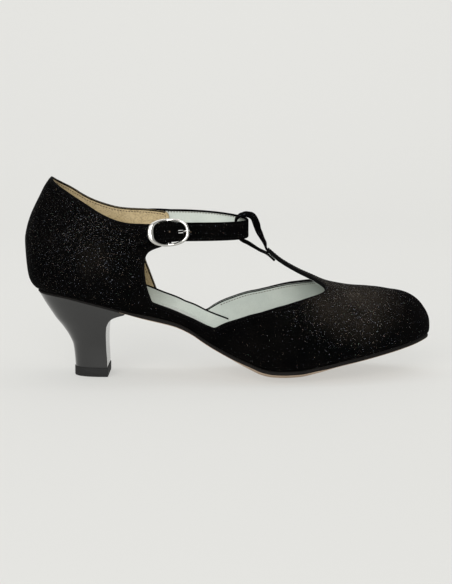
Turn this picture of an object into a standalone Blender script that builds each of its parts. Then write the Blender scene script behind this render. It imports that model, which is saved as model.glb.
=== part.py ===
"""A ballroom dance shoe for the right foot: T-bar vamp, ankle strap with a centre-bar buckle, and a spool heel.

Metres, +Z up, toe towards +X, inner (arch) side of the foot towards +Y.
The origin is the centre of the top lift's flat underside, on the floor.
"""
import math
from functools import lru_cache

import bmesh
import bpy
from mathutils import Vector

MM = 0.001

# Driving sizes of the last
SHOE_LENGTH = 240 * MM
BALL_WIDTH = 75 * MM
HEEL_HEIGHT = 50 * MM
TOE_SPRING = 21 * MM
LAST_RISE = 80 * MM
COUNTER_BULGE = 8.5 * MM
BALL_CROWN = 5.2 * MM

# Walls and plates
UPPER_WALL = 1.6 * MM
VAMP_LAP = 0.5 * MM
SOLE_THICKNESS = 2.2 * MM
SEAT_THICKNESS = 1.2 * MM
SKIVE_LENGTH = 15 * MM
SOLE_MARGIN = 0.8 * MM
INSOLE_THICKNESS = 1.8 * MM
GAP = 0.3 * MM
FOOT_GAP = 0.4 * MM

# Heel and its tip
HEEL_SEAT_LENGTH = 52 * MM
HEEL_TIP_LENGTH = 19.8 * MM
HEEL_TIP_WIDTH = 25 * MM
HEEL_TIP_SETBACK = 20.8 * MM
LIFT_HEIGHT = 5.6 * MM
LIFT_OVERHANG = 0.35 * MM
LIFT_BEVEL = 0.5 * MM

# Ankle strap, T-bar loop and buckle
STRAP_WIDTH = 10.8 * MM
STRAP_THICKNESS = 1.4 * MM
APEX_BACK = 11.8 * MM
APEX_SIDE = 1.3 * MM
APEX_RISE = 13.0 * MM
STRAP_NOSE = 0.4 * MM
LOOP_WIDTH = 9 * MM
LOOP_THICKNESS = 1.3 * MM
LOOP_ARCH = 2.6 * MM
BUCKLE_LENGTH = 24 * MM
BUCKLE_WIDTH = 16.0 * MM
BUCKLE_WIRE = 1.8 * MM
BUCKLE_BAR = 1.2 * MM
PRONG_THICKNESS = 1.1 * MM
TAB_THICKNESS = 0.7 * MM

# A row for each station of the last, from the back of the heel to the tip of the toe.
# along, crest: shares of SHOE_LENGTH, at the sole's edge and on the ridge above it
# outer, inner: half widths of the sole, shares of BALL_WIDTH; swing: the middle line, share of BALL_WIDTH
# rise: height of the ridge over the sole, share of LAST_RISE; round: exponent of the section's curve
# bulge: how far the wall leans out, share of COUNTER_BULGE; span: height of that bulge, share of LAST_RISE
# crown: how far the sole's edge lies above its middle, share of BALL_CROWN
STATION_COLUMNS = ("along", "outer", "inner", "swing", "crest", "rise", "round", "bulge", "span", "crown")
STATIONS = (
    (0.035, 0.000, 0.000, 0.000, 0.192, 1.003, 4.0, 1.00, 0.70, 0.00),
    (0.044, 0.120, 0.120, 0.000, 0.194, 1.004, 4.0, 0.96, 0.70, 0.00),
    (0.067, 0.220, 0.220, 0.000, 0.200, 1.008, 4.0, 0.80, 0.69, 0.00),
    (0.108, 0.291, 0.291, 0.000, 0.213, 1.016, 4.0, 0.60, 0.67, 0.00),
    (0.167, 0.328, 0.328, 0.000, 0.233, 1.031, 4.0, 0.46, 0.66, 0.00),
    (0.229, 0.341, 0.334, 0.000, 0.263, 1.050, 4.0, 0.40, 0.64, 0.00),
    (0.300, 0.339, 0.302, 0.000, 0.308, 1.081, 3.8, 0.36, 0.60, 0.12),
    (0.375, 0.352, 0.275, 0.000, 0.375, 1.076, 3.4, 0.23, 0.50, 0.30),
    (0.446, 0.387, 0.288, 0.000, 0.446, 1.055, 3.0, 0.19, 0.40, 0.40),
    (0.513, 0.437, 0.347, 0.007, 0.513, 1.005, 2.7, 0.19, 0.35, 0.65),
    (0.575, 0.475, 0.427, 0.020, 0.575, 0.945, 2.5, 0.21, 0.33, 0.92),
    (0.633, 0.491, 0.493, 0.033, 0.633, 0.822, 2.35, 0.23, 0.33, 1.00),
    (0.692, 0.477, 0.528, 0.051, 0.692, 0.713, 2.25, 0.23, 0.33, 1.02),
    (0.754, 0.435, 0.520, 0.067, 0.750, 0.598, 2.2, 0.23, 0.30, 0.82),
    (0.817, 0.368, 0.488, 0.083, 0.800, 0.526, 2.2, 0.22, 0.27, 0.56),
    (0.875, 0.285, 0.435, 0.096, 0.841, 0.484, 2.25, 0.22, 0.25, 0.38),
    (0.925, 0.190, 0.365, 0.104, 0.866, 0.455, 2.35, 0.20, 0.23, 0.24),
    (0.969, 0.067, 0.277, 0.107, 0.884, 0.428, 2.5, 0.17, 0.20, 0.10),
    (0.998, -0.107, 0.107, 0.107, 0.884, 0.428, 2.6, 0.16, 0.20, 0.00),
)

# How the wall leans out over its foot: height as a share of the bulge's span, lean as a share of the bulge
LEAN = (
    (0.000, 0.00),
    (0.016, 0.27),
    (0.080, 0.62),
    (0.145, 0.77),
    (0.270, 0.88),
    (0.390, 0.95),
    (0.530, 1.00),
    (0.650, 0.90),
    (0.780, 0.70),
    (0.900, 0.46),
    (1.000, 0.29),
    (1.120, 0.20),
    (1.400, 0.00),
)

# The underside's middle line: along (share of SHOE_LENGTH), heel (share of HEEL_HEIGHT), toe (share of TOE_SPRING)
SOLE_LINE = (
    (0.035, 1.000, 0.000),
    (0.096, 0.968, 0.000),
    (0.160, 0.902, 0.000),
    (0.250, 0.790, 0.000),
    (0.292, 0.724, 0.000),
    (0.342, 0.655, 0.000),
    (0.375, 0.605, 0.000),
    (0.413, 0.515, 0.000),
    (0.446, 0.405, 0.000),
    (0.480, 0.300, 0.000),
    (0.513, 0.205, 0.000),
    (0.550, 0.110, 0.000),
    (0.583, 0.034, 0.000),
    (0.610, 0.000, 0.000),
    (0.672, 0.000, 0.000),
    (0.721, 0.000, 0.125),
    (0.788, 0.000, 0.340),
    (0.858, 0.000, 0.550),
    (0.930, 0.000, 0.765),
    (1.000, 0.000, 1.000),
)

# The heel between its tip (0) and its seat (1): level, back, front and side say how far each has flared
HEEL_ROWS = (
    (0.000, 0.000, 0.000, 0.00),
    (0.150, 0.020, -0.015, 0.01),
    (0.300, 0.060, -0.045, 0.04),
    (0.420, 0.163, -0.050, 0.12),
    (0.545, 0.333, -0.040, 0.25),
    (0.670, 0.550, 0.000, 0.42),
    (0.750, 0.665, 0.090, 0.54),
    (0.830, 0.780, 0.270, 0.67),
    (0.900, 0.875, 0.560, 0.80),
    (0.945, 0.930, 0.800, 0.89),
    (0.975, 0.970, 0.940, 0.95),
    (1.000, 1.000, 1.000, 1.00),
)

# What is cut away above each side's topline, as an outline on the last: station, share of the way up its section.
# The last column marks a corner.
OUTER_TOPLINE = (
    (-0.60, 0.695, 0),
    (0.00, 0.700, 0),
    (1.00, 0.690, 0),
    (2.20, 0.658, 0),
    (3.50, 0.605, 0),
    (4.40, 0.555, 0),
    (5.00, 0.532, 0),
    (5.50, 0.526, 0),
    (6.05, 0.536, 0),
    (6.38, 0.549, 0),
    (6.46, 0.535, 0),
    (6.50, 0.455, 0),
    (6.46, 0.424, 0),
    (6.31, 0.404, 0),
    (6.12, 0.375, 0),
    (6.03, 0.335, 0),
    (6.01, 0.283, 0),
    (6.03, 0.226, 0),
    (6.08, 0.175, 0),
    (6.16, 0.131, 0),
    (6.24, 0.092, 1),
    (6.70, 0.080, 0),
    (7.20, 0.072, 0),
    (7.70, 0.082, 0),
    (8.30, 0.106, 1),
    (8.75, 0.188, 0),
    (9.35, 0.273, 0),
    (9.95, 0.352, 0),
    (10.65, 0.438, 0),
    (11.20, 0.495, 0),
    (11.85, 0.568, 0),
    (12.35, 0.630, 0),
    (12.65, 0.692, 0),
    (12.78, 0.757, 0),
    (12.68, 0.825, 0),
    (12.38, 0.880, 0),
    (11.95, 0.918, 0),
    (11.30, 0.938, 0),
    (10.65, 0.945, 0),
    (10.42, 0.946, 1),
    (10.42, 1.100, 1),
    (-0.60, 1.100, 1),
)
INNER_TOPLINE = (
    (-0.60, 0.695, 0),
    (0.00, 0.700, 0),
    (1.00, 0.688, 0),
    (2.60, 0.641, 0),
    (3.70, 0.590, 0),
    (4.55, 0.571, 0),
    (5.15, 0.574, 0),
    (6.05, 0.600, 0),
    (6.55, 0.619, 0),
    (6.68, 0.608, 0),
    (6.70, 0.575, 0),
    (6.64, 0.535, 0),
    (6.40, 0.508, 0),
    (6.15, 0.475, 0),
    (5.98, 0.425, 0),
    (5.88, 0.360, 0),
    (5.89, 0.285, 0),
    (6.04, 0.212, 0),
    (6.22, 0.130, 0),
    (6.27, 0.104, 1),
    (6.55, 0.098, 0),
    (7.20, 0.088, 0),
    (7.95, 0.106, 1),
    (8.50, 0.222, 0),
    (9.10, 0.322, 0),
    (9.70, 0.402, 0),
    (10.95, 0.554, 0),
    (11.85, 0.664, 0),
    (12.30, 0.738, 0),
    (12.52, 0.815, 0),
    (12.45, 0.870, 0),
    (12.10, 0.905, 0),
    (11.60, 0.925, 0),
    (11.00, 0.938, 0),
    (10.65, 0.945, 0),
    (10.42, 0.946, 1),
    (10.42, 1.100, 1),
    (-0.60, 1.100, 1),
)

# Where the vamp's wing laps over the quarter's strip: a column of the wall and how far it slants up to the topline
SEAM_STATION = 8.0
SEAM_FOOT = -0.5
SEAM_TOP = 0.2
SEAM_HEIGHT = 0.106
SEAM_REACH = 1.5

# The strap's middle line on the outer and inner quarter: station of the last, share of the way up its section
STRAP_OUTER_LINE = (
    (5.00, 0.408),
    (5.40, 0.436),
    (5.86, 0.462),
    (6.30, 0.491),
    (6.75, 0.523),
)
STRAP_INNER_LINE = (
    (6.00, 0.542),
    (6.40, 0.566),
    (6.75, 0.586),
)
STRAP_LAY = 0.35 * MM
STRAP_HUMP = 3.3 * MM
HUMP_REACH = 9 * MM
HUMP_RUN = 11.0 * MM
BUCKLE_TILT = math.radians(4)
BUCKLE_LEAN = 0.05
BUCKLE_DROP = 0.35 * MM

# The T-bar's loop over the ankle strap, from the bar's end: back and up as shares of STRAP_WIDTH, arch share
LOOP_PATH = (
    (-0.04, 0.04, 0.00),
    (-0.24, 0.42, 0.40),
    (-0.58, 0.93, 0.80),
    (-0.77, 1.38, 1.00),
    (-0.91, 1.72, 0.90),
    (-1.16, 1.84, 0.70),
    (-1.42, 1.84, 0.45),
    (-1.64, 1.72, 0.20),
    (-1.75, 1.42, 0.00),
    (-1.73, 1.08, 0.00),
    (-1.60, 0.80, 0.00),
    (-1.34, 0.57, 0.00),
    (-0.96, 0.37, 0.00),
    (-0.46, 0.02, 0.00),
)
LOOP_TAIL_STATIONS = (10.5, 10.8)

BUCKLE_RIM = 4.6 * MM
BUCKLE_BAR_LEVEL = 1.3 * MM
BUCKLE_END_WIDEN = 0.55 * MM
BUCKLE_ROUND = 2.5
TAB_WIDTH = 10 * MM
TAB_TAIL = 4.6 * MM

# The prong's line beyond the ring round its bar: along the strap and outwards, as shares of BUCKLE_LENGTH
PRONG_PATH = (
    (0.083, 0.104),
    (0.167, 0.082),
    (0.229, 0.086),
    (0.292, 0.128),
    (0.350, 0.200),
    (0.396, 0.248),
    (0.442, 0.266),
    (0.475, 0.264),
    (0.505, 0.250),
)

# Colours: base colour, roughness, metallic
LOOKS = {
    "suede": ((0.022, 0.022, 0.026, 1), 0.9, 0),
    "sole_leather": ((0.36, 0.24, 0.15, 1), 0.7, 0),
    "heel_gloss": ((0.015, 0.015, 0.017, 1), 0.12, 0),
    "lift_rubber": ((0.012, 0.012, 0.012, 1), 0.75, 0),
    "insole_leather": ((0.50, 0.40, 0.30, 1), 0.7, 0),
    "buckle_metal": ((0.80, 0.80, 0.82, 1), 0.18, 1),
}

STEPS_PER_STATION = 3
ROWS_UP = 16
SECTION_STEPS = 40
SOLE_SHARES = (0.0, 0.3, 0.61, 1.0)
LAST_STATION = len(STATIONS) - 1
POLE_STATION = LAST_STATION - 1.6
OUTER, INNER = -1, 1
FLAT_SHARE = 0.4
SEAM_STEP = 0.04
WELD = 0.3 * MM
HEEL_ROUND = 2.5
LOOP_DRIFT = -1.0 * MM
SLOT_WIDTH = 2.0 * MM
SLOT_LENGTH = 4.4 * MM
SLOT_MIDDLE = 6.6 * MM
SLOT_REACH = 2.5 * MM
TAB_KNEE = 2.6 * MM
TURN_SPACING = 1.5
BEVEL_RUN = 0.3
EDGE_SHARE = 0.4
PRONG_TIP = (1.0, 0.8, 0.45)


def smooth(rows, x, column):
    """A monotone cubic through one column of a table, whose first column is the position."""
    last = len(rows) - 1
    if x <= rows[0][0]:
        return rows[0][column]
    if x >= rows[last][0]:
        return rows[last][column]
    i = max(k for k in range(last) if rows[k][0] <= x)

    def slope(k):
        if k < 0 or k >= last:
            return None
        return (rows[k + 1][column] - rows[k][column]) / (rows[k + 1][0] - rows[k][0])

    def tangent(k):
        before, after = slope(k - 1), slope(k)
        if before is None or after is None:
            return before if after is None else after
        if before * after <= 0:
            return 0.0
        return 2 * before * after / (before + after)

    width = rows[i + 1][0] - rows[i][0]
    t = (x - rows[i][0]) / width
    a, b = rows[i][column], rows[i + 1][column]
    return (
        a * (1 + 2 * t) * (1 - t) ** 2
        + b * t * t * (3 - 2 * t)
        + width * (tangent(i) * t * (1 - t) ** 2 - tangent(i + 1) * t * t * (1 - t))
    )


def through(before, a, b, after, t):
    """A Catmull-Rom curve's value between a and b."""
    return 0.5 * (
        2 * a
        + (b - before) * t
        + (2 * before - 5 * a + 4 * b - after) * t * t
        + (3 * a - before - 3 * b + after) * t ** 3
    )


def ease(t):
    """0 to 1 with level ends."""
    t = min(max(t, 0.0), 1.0)
    return t * t * (3 - 2 * t)


ORIGIN_X = STATIONS[0][0] * SHOE_LENGTH + HEEL_TIP_SETBACK + HEEL_TIP_LENGTH / 2


def column_at(name, station):
    """A column of STATIONS at any station."""
    rows = tuple((k,) + row for k, row in enumerate(STATIONS))
    return smooth(rows, station, 1 + STATION_COLUMNS.index(name))


def on_last(side, station):
    """Past the heel's back or the toe's tip, the same place on the other side."""
    if station < 0:
        return -side, -station
    if station > LAST_STATION:
        return -side, 2 * LAST_STATION - station
    return side, station


@lru_cache(maxsize=None)
def outline(side, station):
    """The sole edge's place in plan."""
    side, station = on_last(side, station)

    def point(k):
        other = k < 0 or k > LAST_STATION
        k = -k if k < 0 else k
        k = 2 * LAST_STATION - k if k > LAST_STATION else k
        use = -side if other else side
        y = STATIONS[k][1 if use == OUTER else 2] * BALL_WIDTH
        return Vector((STATIONS[k][0] * SHOE_LENGTH - ORIGIN_X, use * y))

    i = min(int(math.floor(station)), LAST_STATION - 1)
    return through(point(i - 1), point(i), point(i + 1), point(i + 2), station - i)


def outward(side, station):
    """The outline's normal in plan, away from the foot."""
    step = 0.05
    run = (outline(side, station + step) - outline(side, station - step)).normalized()
    normal = Vector((run.y, -run.x)) * (-side)
    return normal.normalized()


def sole_bottom(x):
    """Height of the underside's middle line."""
    along = (x + ORIGIN_X) / SHOE_LENGTH
    return smooth(SOLE_LINE, along, 1) * HEEL_HEIGHT + smooth(SOLE_LINE, along, 2) * TOE_SPRING


def sole_thickness(x):
    """The sole is skived thin over the heel seat."""
    seat_end = STATIONS[0][0] * SHOE_LENGTH - ORIGIN_X + HEEL_SEAT_LENGTH
    return SEAT_THICKNESS + (SOLE_THICKNESS - SEAT_THICKNESS) * ease((x - seat_end) / SKIVE_LENGTH)


def plate_point(side, station, share, inset, level):
    """A point of the sole's layers: share 0 at the edge to 1 at the middle line, level above the underside."""
    edge = outline(side, station)
    middle = Vector((
        column_at("crest", station) * SHOE_LENGTH - ORIGIN_X,
        column_at("swing", station) * BALL_WIDTH,
    ))
    place = (edge - outward(side, station) * inset).lerp(middle, share)
    reach = (place - middle).length / (edge - middle).length
    rim = ease((reach - FLAT_SHARE) / (1 - FLAT_SHARE))
    crown = column_at("crown", station) * BALL_CROWN * rim
    return Vector((place.x, place.y, sole_bottom(place.x) + crown + level))


@lru_cache(maxsize=None)
def section(side, station):
    """The wall's curve from the sole's edge to the ridge: its foot, its crest and the curve's angles by length."""
    edge = outline(side, station)
    foot = plate_point(side, station, 0.0, 0.0, 0.0)
    foot.z += sole_thickness(foot.x) + FOOT_GAP
    crest_x = column_at("crest", station) * SHOE_LENGTH - ORIGIN_X
    crest_z = sole_bottom(crest_x) + sole_thickness(crest_x) + column_at("rise", station) * LAST_RISE
    crest = Vector((crest_x, column_at("swing", station) * BALL_WIDTH, crest_z))
    form = (
        foot,
        (crest - foot).xy.length,
        crest.z - foot.z,
        (crest - foot).xy.normalized(),
        column_at("round", station),
        column_at("bulge", station) * COUNTER_BULGE,
        column_at("span", station) * LAST_RISE,
    )
    angles = [math.pi / 2 * k / SECTION_STEPS for k in range(SECTION_STEPS + 1)]
    points = [on_section(form, a) for a in angles]
    lengths = [0.0]
    for a, b in zip(points, points[1:]):
        lengths.append(lengths[-1] + (b - a).length)
    shares = [(length / lengths[-1], angle) for length, angle in zip(lengths, angles)]
    return form, shares


def on_section(form, angle):
    """A point of a section: a rounded quarter that the bulge pushes outwards near its foot."""
    foot, run, rise, inward, power, bulge, span = form
    c, s = max(math.cos(angle), 0.0), math.sin(angle)
    size = (c ** power + s ** power) ** (1 / power)
    up = rise * s / size
    lean = bulge * smooth(LEAN, up / span, 1)
    place = foot.xy + inward * (run * (1 - c / size) - lean)
    return Vector((place.x, place.y, foot.z + up))


def wall(side, station, share):
    """A point of the upper's outer face: share 0 at the sole's edge to 1 on the ridge."""
    side, station = on_last(side, station)
    form, shares = section(side, station)
    share = min(max(share, 0.0), 1.0)
    for (low, a), (high, b) in zip(shares, shares[1:]):
        if share <= high:
            return on_section(form, a + (b - a) * (share - low) / (high - low))
    return on_section(form, math.pi / 2)


def wall_normal(side, station, share):
    """The outer face's normal, away from the foot."""
    step = 0.02
    along = wall(side, station + step, share) - wall(side, station - step, share)
    up = wall(side, station, min(share + step, 1.0)) - wall(side, station, max(share - step, 0.0))
    normal = along.cross(up) * (1 if side == OUTER else -1)
    return normal.normalized()


def curve_through(rows, steps=6):
    """A smooth line through a table's points; a row whose last column is 1 stays a corner."""
    points = [Vector(row[:2]) for row in rows]
    corner = [row[2] == 1 for row in rows]
    made = []
    for i in range(len(points) - 1):
        a, b = points[i], points[i + 1]
        before = a * 2 - b if i == 0 or corner[i] else points[i - 1]
        after = b * 2 - a if i + 2 == len(points) or corner[i + 1] else points[i + 2]
        made += [through(before, a, b, after, k / steps) for k in range(steps)]
    return made + [points[-1]]


def inside(polygon, x, y):
    """Whether a point is inside a closed outline."""
    found = False
    for a, b in zip(polygon, polygon[1:] + polygon[:1]):
        if (a.y > y) != (b.y > y) and x < a.x + (b.x - a.x) * (y - a.y) / (b.y - a.y):
            found = not found
    return found


def seam_slant(station, share):
    """How far a column of the grid leans so that one of them follows the lap's seam."""
    near = max(0.0, 1 - abs(station - SEAM_STATION) / SEAM_REACH)
    return near * (SEAM_FOOT + (SEAM_TOP - SEAM_FOOT) * min(share / SEAM_HEIGHT, 1.0))


def upper_point(side, column, share):
    """A point of the upper's outer face; in front of the seam it is one skin higher."""
    station = column + seam_slant(column, share)
    point = wall(side, station, share)
    lap = VAMP_LAP * ease((column - SEAM_STATION) / SEAM_STEP)
    out = wall_normal(side, station, share) if share < 1 else ridge_normal(min(station, POLE_STATION))
    level = Vector((out.x, out.y, 0)).normalized()
    return point + level.lerp(out, min(share / SEAM_HEIGHT, 1.0)) * lap if lap else point


def upper_columns():
    """The grid's columns along the last, with one more beside the seam."""
    columns = [i / STEPS_PER_STATION for i in range(LAST_STATION * STEPS_PER_STATION + 1)]
    return sorted(columns + [SEAM_STATION + SEAM_STEP])


def crossing(is_cut, kept, cut):
    """Where the line between a kept and a cut corner meets the topline, by halving."""
    for _ in range(14):
        middle = (kept + cut) / 2
        if is_cut(middle):
            cut = middle
        else:
            kept = middle
    return kept


def upper_sheet():
    """The upper's outer face: a grid over the last, cut along both sides' toplines and welded on the ridge."""
    bm = bmesh.new()
    columns = upper_columns()
    for side, rows in ((OUTER, OUTER_TOPLINE), (INNER, INNER_TOPLINE)):
        polygon = curve_through(rows)
        made = {}

        def is_cut(corner, polygon=polygon):
            return inside(polygon, corner.x + seam_slant(corner.x, corner.y), corner.y)

        def vertex(corner, side=side, made=made):
            key = (round(corner.x, 4), round(corner.y, 4))
            if key not in made:
                made[key] = bm.verts.new(upper_point(side, corner.x, corner.y))
            return made[key]

        for low, high in zip(columns, columns[1:]):
            for j in range(ROWS_UP):
                cell = [
                    Vector((low, j / ROWS_UP)),
                    Vector((high, j / ROWS_UP)),
                    Vector((high, (j + 1) / ROWS_UP)),
                    Vector((low, (j + 1) / ROWS_UP)),
                ]
                cut = [is_cut(corner) for corner in cell]
                face = []
                for k in range(4):
                    after = (k + 1) % 4
                    if not cut[k]:
                        face.append(vertex(cell[k]))
                    if cut[k] != cut[after]:
                        kept, lost = (cell[after], cell[k]) if cut[k] else (cell[k], cell[after])
                        face.append(vertex(crossing(is_cut, kept, lost)))
                face = [v for k, v in enumerate(face) if v is not face[k - 1]]
                if len(face) > 2:
                    bm.faces.new(face if side == OUTER else face[::-1])
    bmesh.ops.remove_doubles(bm, verts=bm.verts, dist=WELD)
    return bm


def look(name):
    """A plain material from LOOKS."""
    colour, roughness, metallic = LOOKS[name]
    made = bpy.data.materials.get(name) or bpy.data.materials.new(name)
    made.use_nodes = True
    shader = made.node_tree.nodes["Principled BSDF"]
    shader.inputs["Base Color"].default_value = colour
    shader.inputs["Roughness"].default_value = roughness
    shader.inputs["Metallic"].default_value = metallic
    made.diffuse_color = colour
    return made


def add(name, bm, material, smooth_to=40):
    """A named object from a mesh, its faces turned outwards and smooth up to an angle."""
    bmesh.ops.recalc_face_normals(bm, faces=bm.faces)
    mesh = bpy.data.meshes.new(name)
    bm.to_mesh(mesh)
    bm.free()
    mesh.materials.append(look(material))
    mesh.shade_smooth()
    mesh.set_sharp_from_angle(angle=math.radians(smooth_to))
    piece = bpy.data.objects.new(name, mesh)
    bpy.context.collection.objects.link(piece)
    return piece


def cutter(name, bm, target):
    """A hidden block taken out of a piece."""
    block = add(name, bm, "suede")
    block.hide_render = True
    block.display_type = "WIRE"
    cut = target.modifiers.new(name, "BOOLEAN")
    cut.operation = "DIFFERENCE"
    cut.solver = "EXACT"
    cut.object = block
    return block


def box(centre, axes, sizes):
    """A box about a centre, along three axes."""
    bm = bmesh.new()
    bmesh.ops.create_cube(bm, size=1.0)
    for v in bm.verts:
        v.co = centre + sum((axes[k] * (v.co[k] * sizes[k]) for k in range(3)), Vector())
    return bm


def loft(bm, rings, close_ends=True):
    """Skin between rings of equal counts."""
    made = [[bm.verts.new(p) for p in ring] for ring in rings]
    for a, b in zip(made, made[1:]):
        for k in range(len(a)):
            after = (k + 1) % len(a)
            bm.faces.new((a[k], a[after], b[after], b[k]))
    if close_ends:
        bm.faces.new(made[0][::-1])
        bm.faces.new(made[-1])
    return made


def plate(inset, low, high, shares):
    """A layer of the sole between two heights over the underside, inset from its edge."""
    bm = bmesh.new()
    columns = [i / STEPS_PER_STATION for i in range(LAST_STATION * STEPS_PER_STATION + 1)]
    sheets = []
    for level in (low, high):
        for side in (OUTER, INNER):
            grid = []
            for station in columns:
                points = [plate_point(side, station, share, inset, 0.0) for share in shares]
                grid.append([bm.verts.new(p + Vector((0, 0, level(p.x)))) for p in points])
            sheets.append(grid)
            for a, b in zip(grid, grid[1:]):
                for k in range(len(shares) - 1):
                    bm.faces.new((a[k], b[k], b[k + 1], a[k + 1]))
    for lower, upper in ((sheets[0], sheets[2]), (sheets[1], sheets[3])):
        for i in range(len(columns) - 1):
            bm.faces.new((lower[i][0], lower[i + 1][0], upper[i + 1][0], upper[i][0]))
    bmesh.ops.remove_doubles(bm, verts=bm.verts, dist=WELD / 3)
    return bm


def d_outline(back, front, half, steps=12):
    """A heel's outline in plan: a round back and a straight breast."""
    points = []
    for k in range(2 * steps + 1):
        angle = math.pi * (k / (2 * steps) - 0.5)
        c, s = max(math.cos(angle), 0.0), math.sin(angle)
        x = front - (front - back) * c ** (2 / HEEL_ROUND)
        y = math.copysign(half * abs(s) ** (2 / HEEL_ROUND), s)
        points.append((x, y))
    return points


def heel_stack(bm, rings):
    """Skin a heel's rings, with both ends laddered across so that they can follow the sole."""
    made = loft(bm, rings, close_ends=False)
    for ring in (made[0], made[-1]):
        last = len(ring) - 1
        for k in range(last // 2):
            corners = [ring[k], ring[k + 1], ring[last - k - 1], ring[last - k]]
            bm.faces.new(list(dict.fromkeys(corners)))
    return bm


def heel_mesh():
    """The spool heel, from the top lift up to the sole's seat."""
    seat_back = STATIONS[0][0] * SHOE_LENGTH - ORIGIN_X
    tip_back, tip_front = -HEEL_TIP_LENGTH / 2, HEEL_TIP_LENGTH / 2
    seat_front = seat_back + HEEL_SEAT_LENGTH
    seat_half = STATIONS[5][1] * BALL_WIDTH
    rings = []
    for level, back, front, side in HEEL_ROWS:
        ring = []
        outline_now = d_outline(
            tip_back + (seat_back - tip_back) * back,
            tip_front + (seat_front - tip_front) * front,
            HEEL_TIP_WIDTH / 2 + (seat_half - HEEL_TIP_WIDTH / 2) * side,
        )
        for x, y in outline_now:
            top = sole_bottom(x) - GAP
            ring.append(Vector((x, y, LIFT_HEIGHT + (top - LIFT_HEIGHT) * level)))
        rings.append(ring)
    return heel_stack(bmesh.new(), rings)


def lift_mesh():
    """The top lift under the heel, with its lower edge broken."""
    rings = []
    for z, inset in ((0.0, LIFT_BEVEL), (LIFT_BEVEL, 0.0), (LIFT_HEIGHT - GAP, 0.0)):
        back = -HEEL_TIP_LENGTH / 2 - LIFT_OVERHANG + inset
        front = HEEL_TIP_LENGTH / 2 + LIFT_OVERHANG - inset
        half = HEEL_TIP_WIDTH / 2 + LIFT_OVERHANG - inset
        rings.append([Vector((x, y, z)) for x, y in d_outline(back, front, half)])
    return heel_stack(bmesh.new(), rings)


def ribbon(frames, width, thickness):
    """A flat band along frames of (centre, outward, across, width share, arch), its edges bevelled."""
    bm = bmesh.new()
    rings = []
    edge = thickness * BEVEL_RUN
    for centre, out, across, share, arch in frames:
        half = width / 2 * share
        ring = []
        for face in (1, -1):
            stops = (-half, -half + edge, 0.0, half - edge, half)
            for y in stops[::face]:
                level = EDGE_SHARE if y in (-half, half) else 1.0
                n = thickness / 2 * level * face
                bow = arch * (1 - (y / half) ** 2)
                ring.append(centre + across * y + out * (n + bow))
        rings.append(ring)
    loft(bm, rings)
    return bm


def strap_side(side, rows, steps):
    """Points of the strap's line on a quarter, with the wall's normal and the way across."""
    made = []
    for k in range(steps + 1):
        station = rows[0][0] + (rows[-1][0] - rows[0][0]) * k / steps
        share = smooth(rows, station, 1)
        point = wall(side, station, share)
        out = wall_normal(side, station, share)
        made.append((point + out * (STRAP_LAY + STRAP_THICKNESS / 2), out))
    return made


def buckle_frame():
    """The buckle's own axes: its origin on the quarter's face under the bar, along the strap, across it, outwards."""
    station, share = STRAP_OUTER_LINE[-1]
    origin = wall(OUTER, station, share)
    out = wall_normal(OUTER, station, share)
    along = Vector((math.cos(BUCKLE_TILT), 0, math.sin(BUCKLE_TILT)))
    along = (along - out * along.dot(out)).normalized()
    along, out = (along - out * BUCKLE_LEAN).normalized(), (out + along * BUCKLE_LEAN).normalized()
    across = along.cross(out)
    return origin + across * BUCKLE_DROP, along, across, out


def bar_end():
    """The end of the T-bar, in the middle of its wall."""
    station = OUTER_TOPLINE[-3][0]
    return wall(OUTER, station, 1.0) - ridge_normal(station) * (UPPER_WALL / 2)


def strap_line():
    """The ankle strap from its free end round the ankle to the inner quarter: frames for ribbon()."""
    outer = strap_side(OUTER, STRAP_OUTER_LINE, 20)
    inner = strap_side(INNER, STRAP_INNER_LINE, 5)
    (start, start_out), (end, end_out) = outer[-1], inner[-1]
    middle = (start + end) / 2
    half = (end.y - start.y) / 2
    apex = bar_end() + Vector((-APEX_BACK, -APEX_SIDE, APEX_RISE)) - middle
    points = list(outer)
    turns = 28
    for k in range(1, turns):
        turn = (k / turns) ** TURN_SPACING
        angle = math.pi * turn
        c, s = -math.cos(angle), math.sin(angle)
        place = Vector((
            start.x + (end.x - start.x) * turn + apex.x * s,
            middle.y + half * c + apex.y * s * s,
        ))
        flat_z = start.z + (end.z - start.z) * ease(turn)
        z = flat_z + apex.z * s * s
        out = Vector((s / apex.x, c / half, 0)).normalized()
        out.z = start_out.z * (1 - ease(4 * turn)) + end_out.z * (1 - ease(4 - 4 * turn))
        points.append((Vector((place.x, place.y, z)), out))
    points += inner[::-1]
    origin, along, across, out = buckle_frame()
    humped = []
    for point, normal in points:
        away = (point - origin).dot(along)
        away = away / (HUMP_RUN if away > 0 else HUMP_REACH)
        near = point.y < 0 and abs(away) < 1
        hump = STRAP_HUMP * math.cos(math.pi / 2 * away) ** 2 if near else 0.0
        humped.append((point + normal * hump, normal))
    run = 0.0
    frames = []
    for k, (point, normal) in enumerate(humped):
        before = humped[max(k - 1, 0)][0]
        after = humped[min(k + 1, len(humped) - 1)][0]
        tangent = (after - before).normalized()
        run += (point - before).length
        way_out = (normal - tangent * normal.dot(tangent)).normalized()
        nose = min(run + STRAP_NOSE, STRAP_WIDTH / 2)
        share = math.sqrt(max(0.0, 1 - (1 - nose / (STRAP_WIDTH / 2)) ** 2))
        frames.append((point, way_out, tangent.cross(way_out).normalized(), share, 0.0))
    return frames


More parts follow.
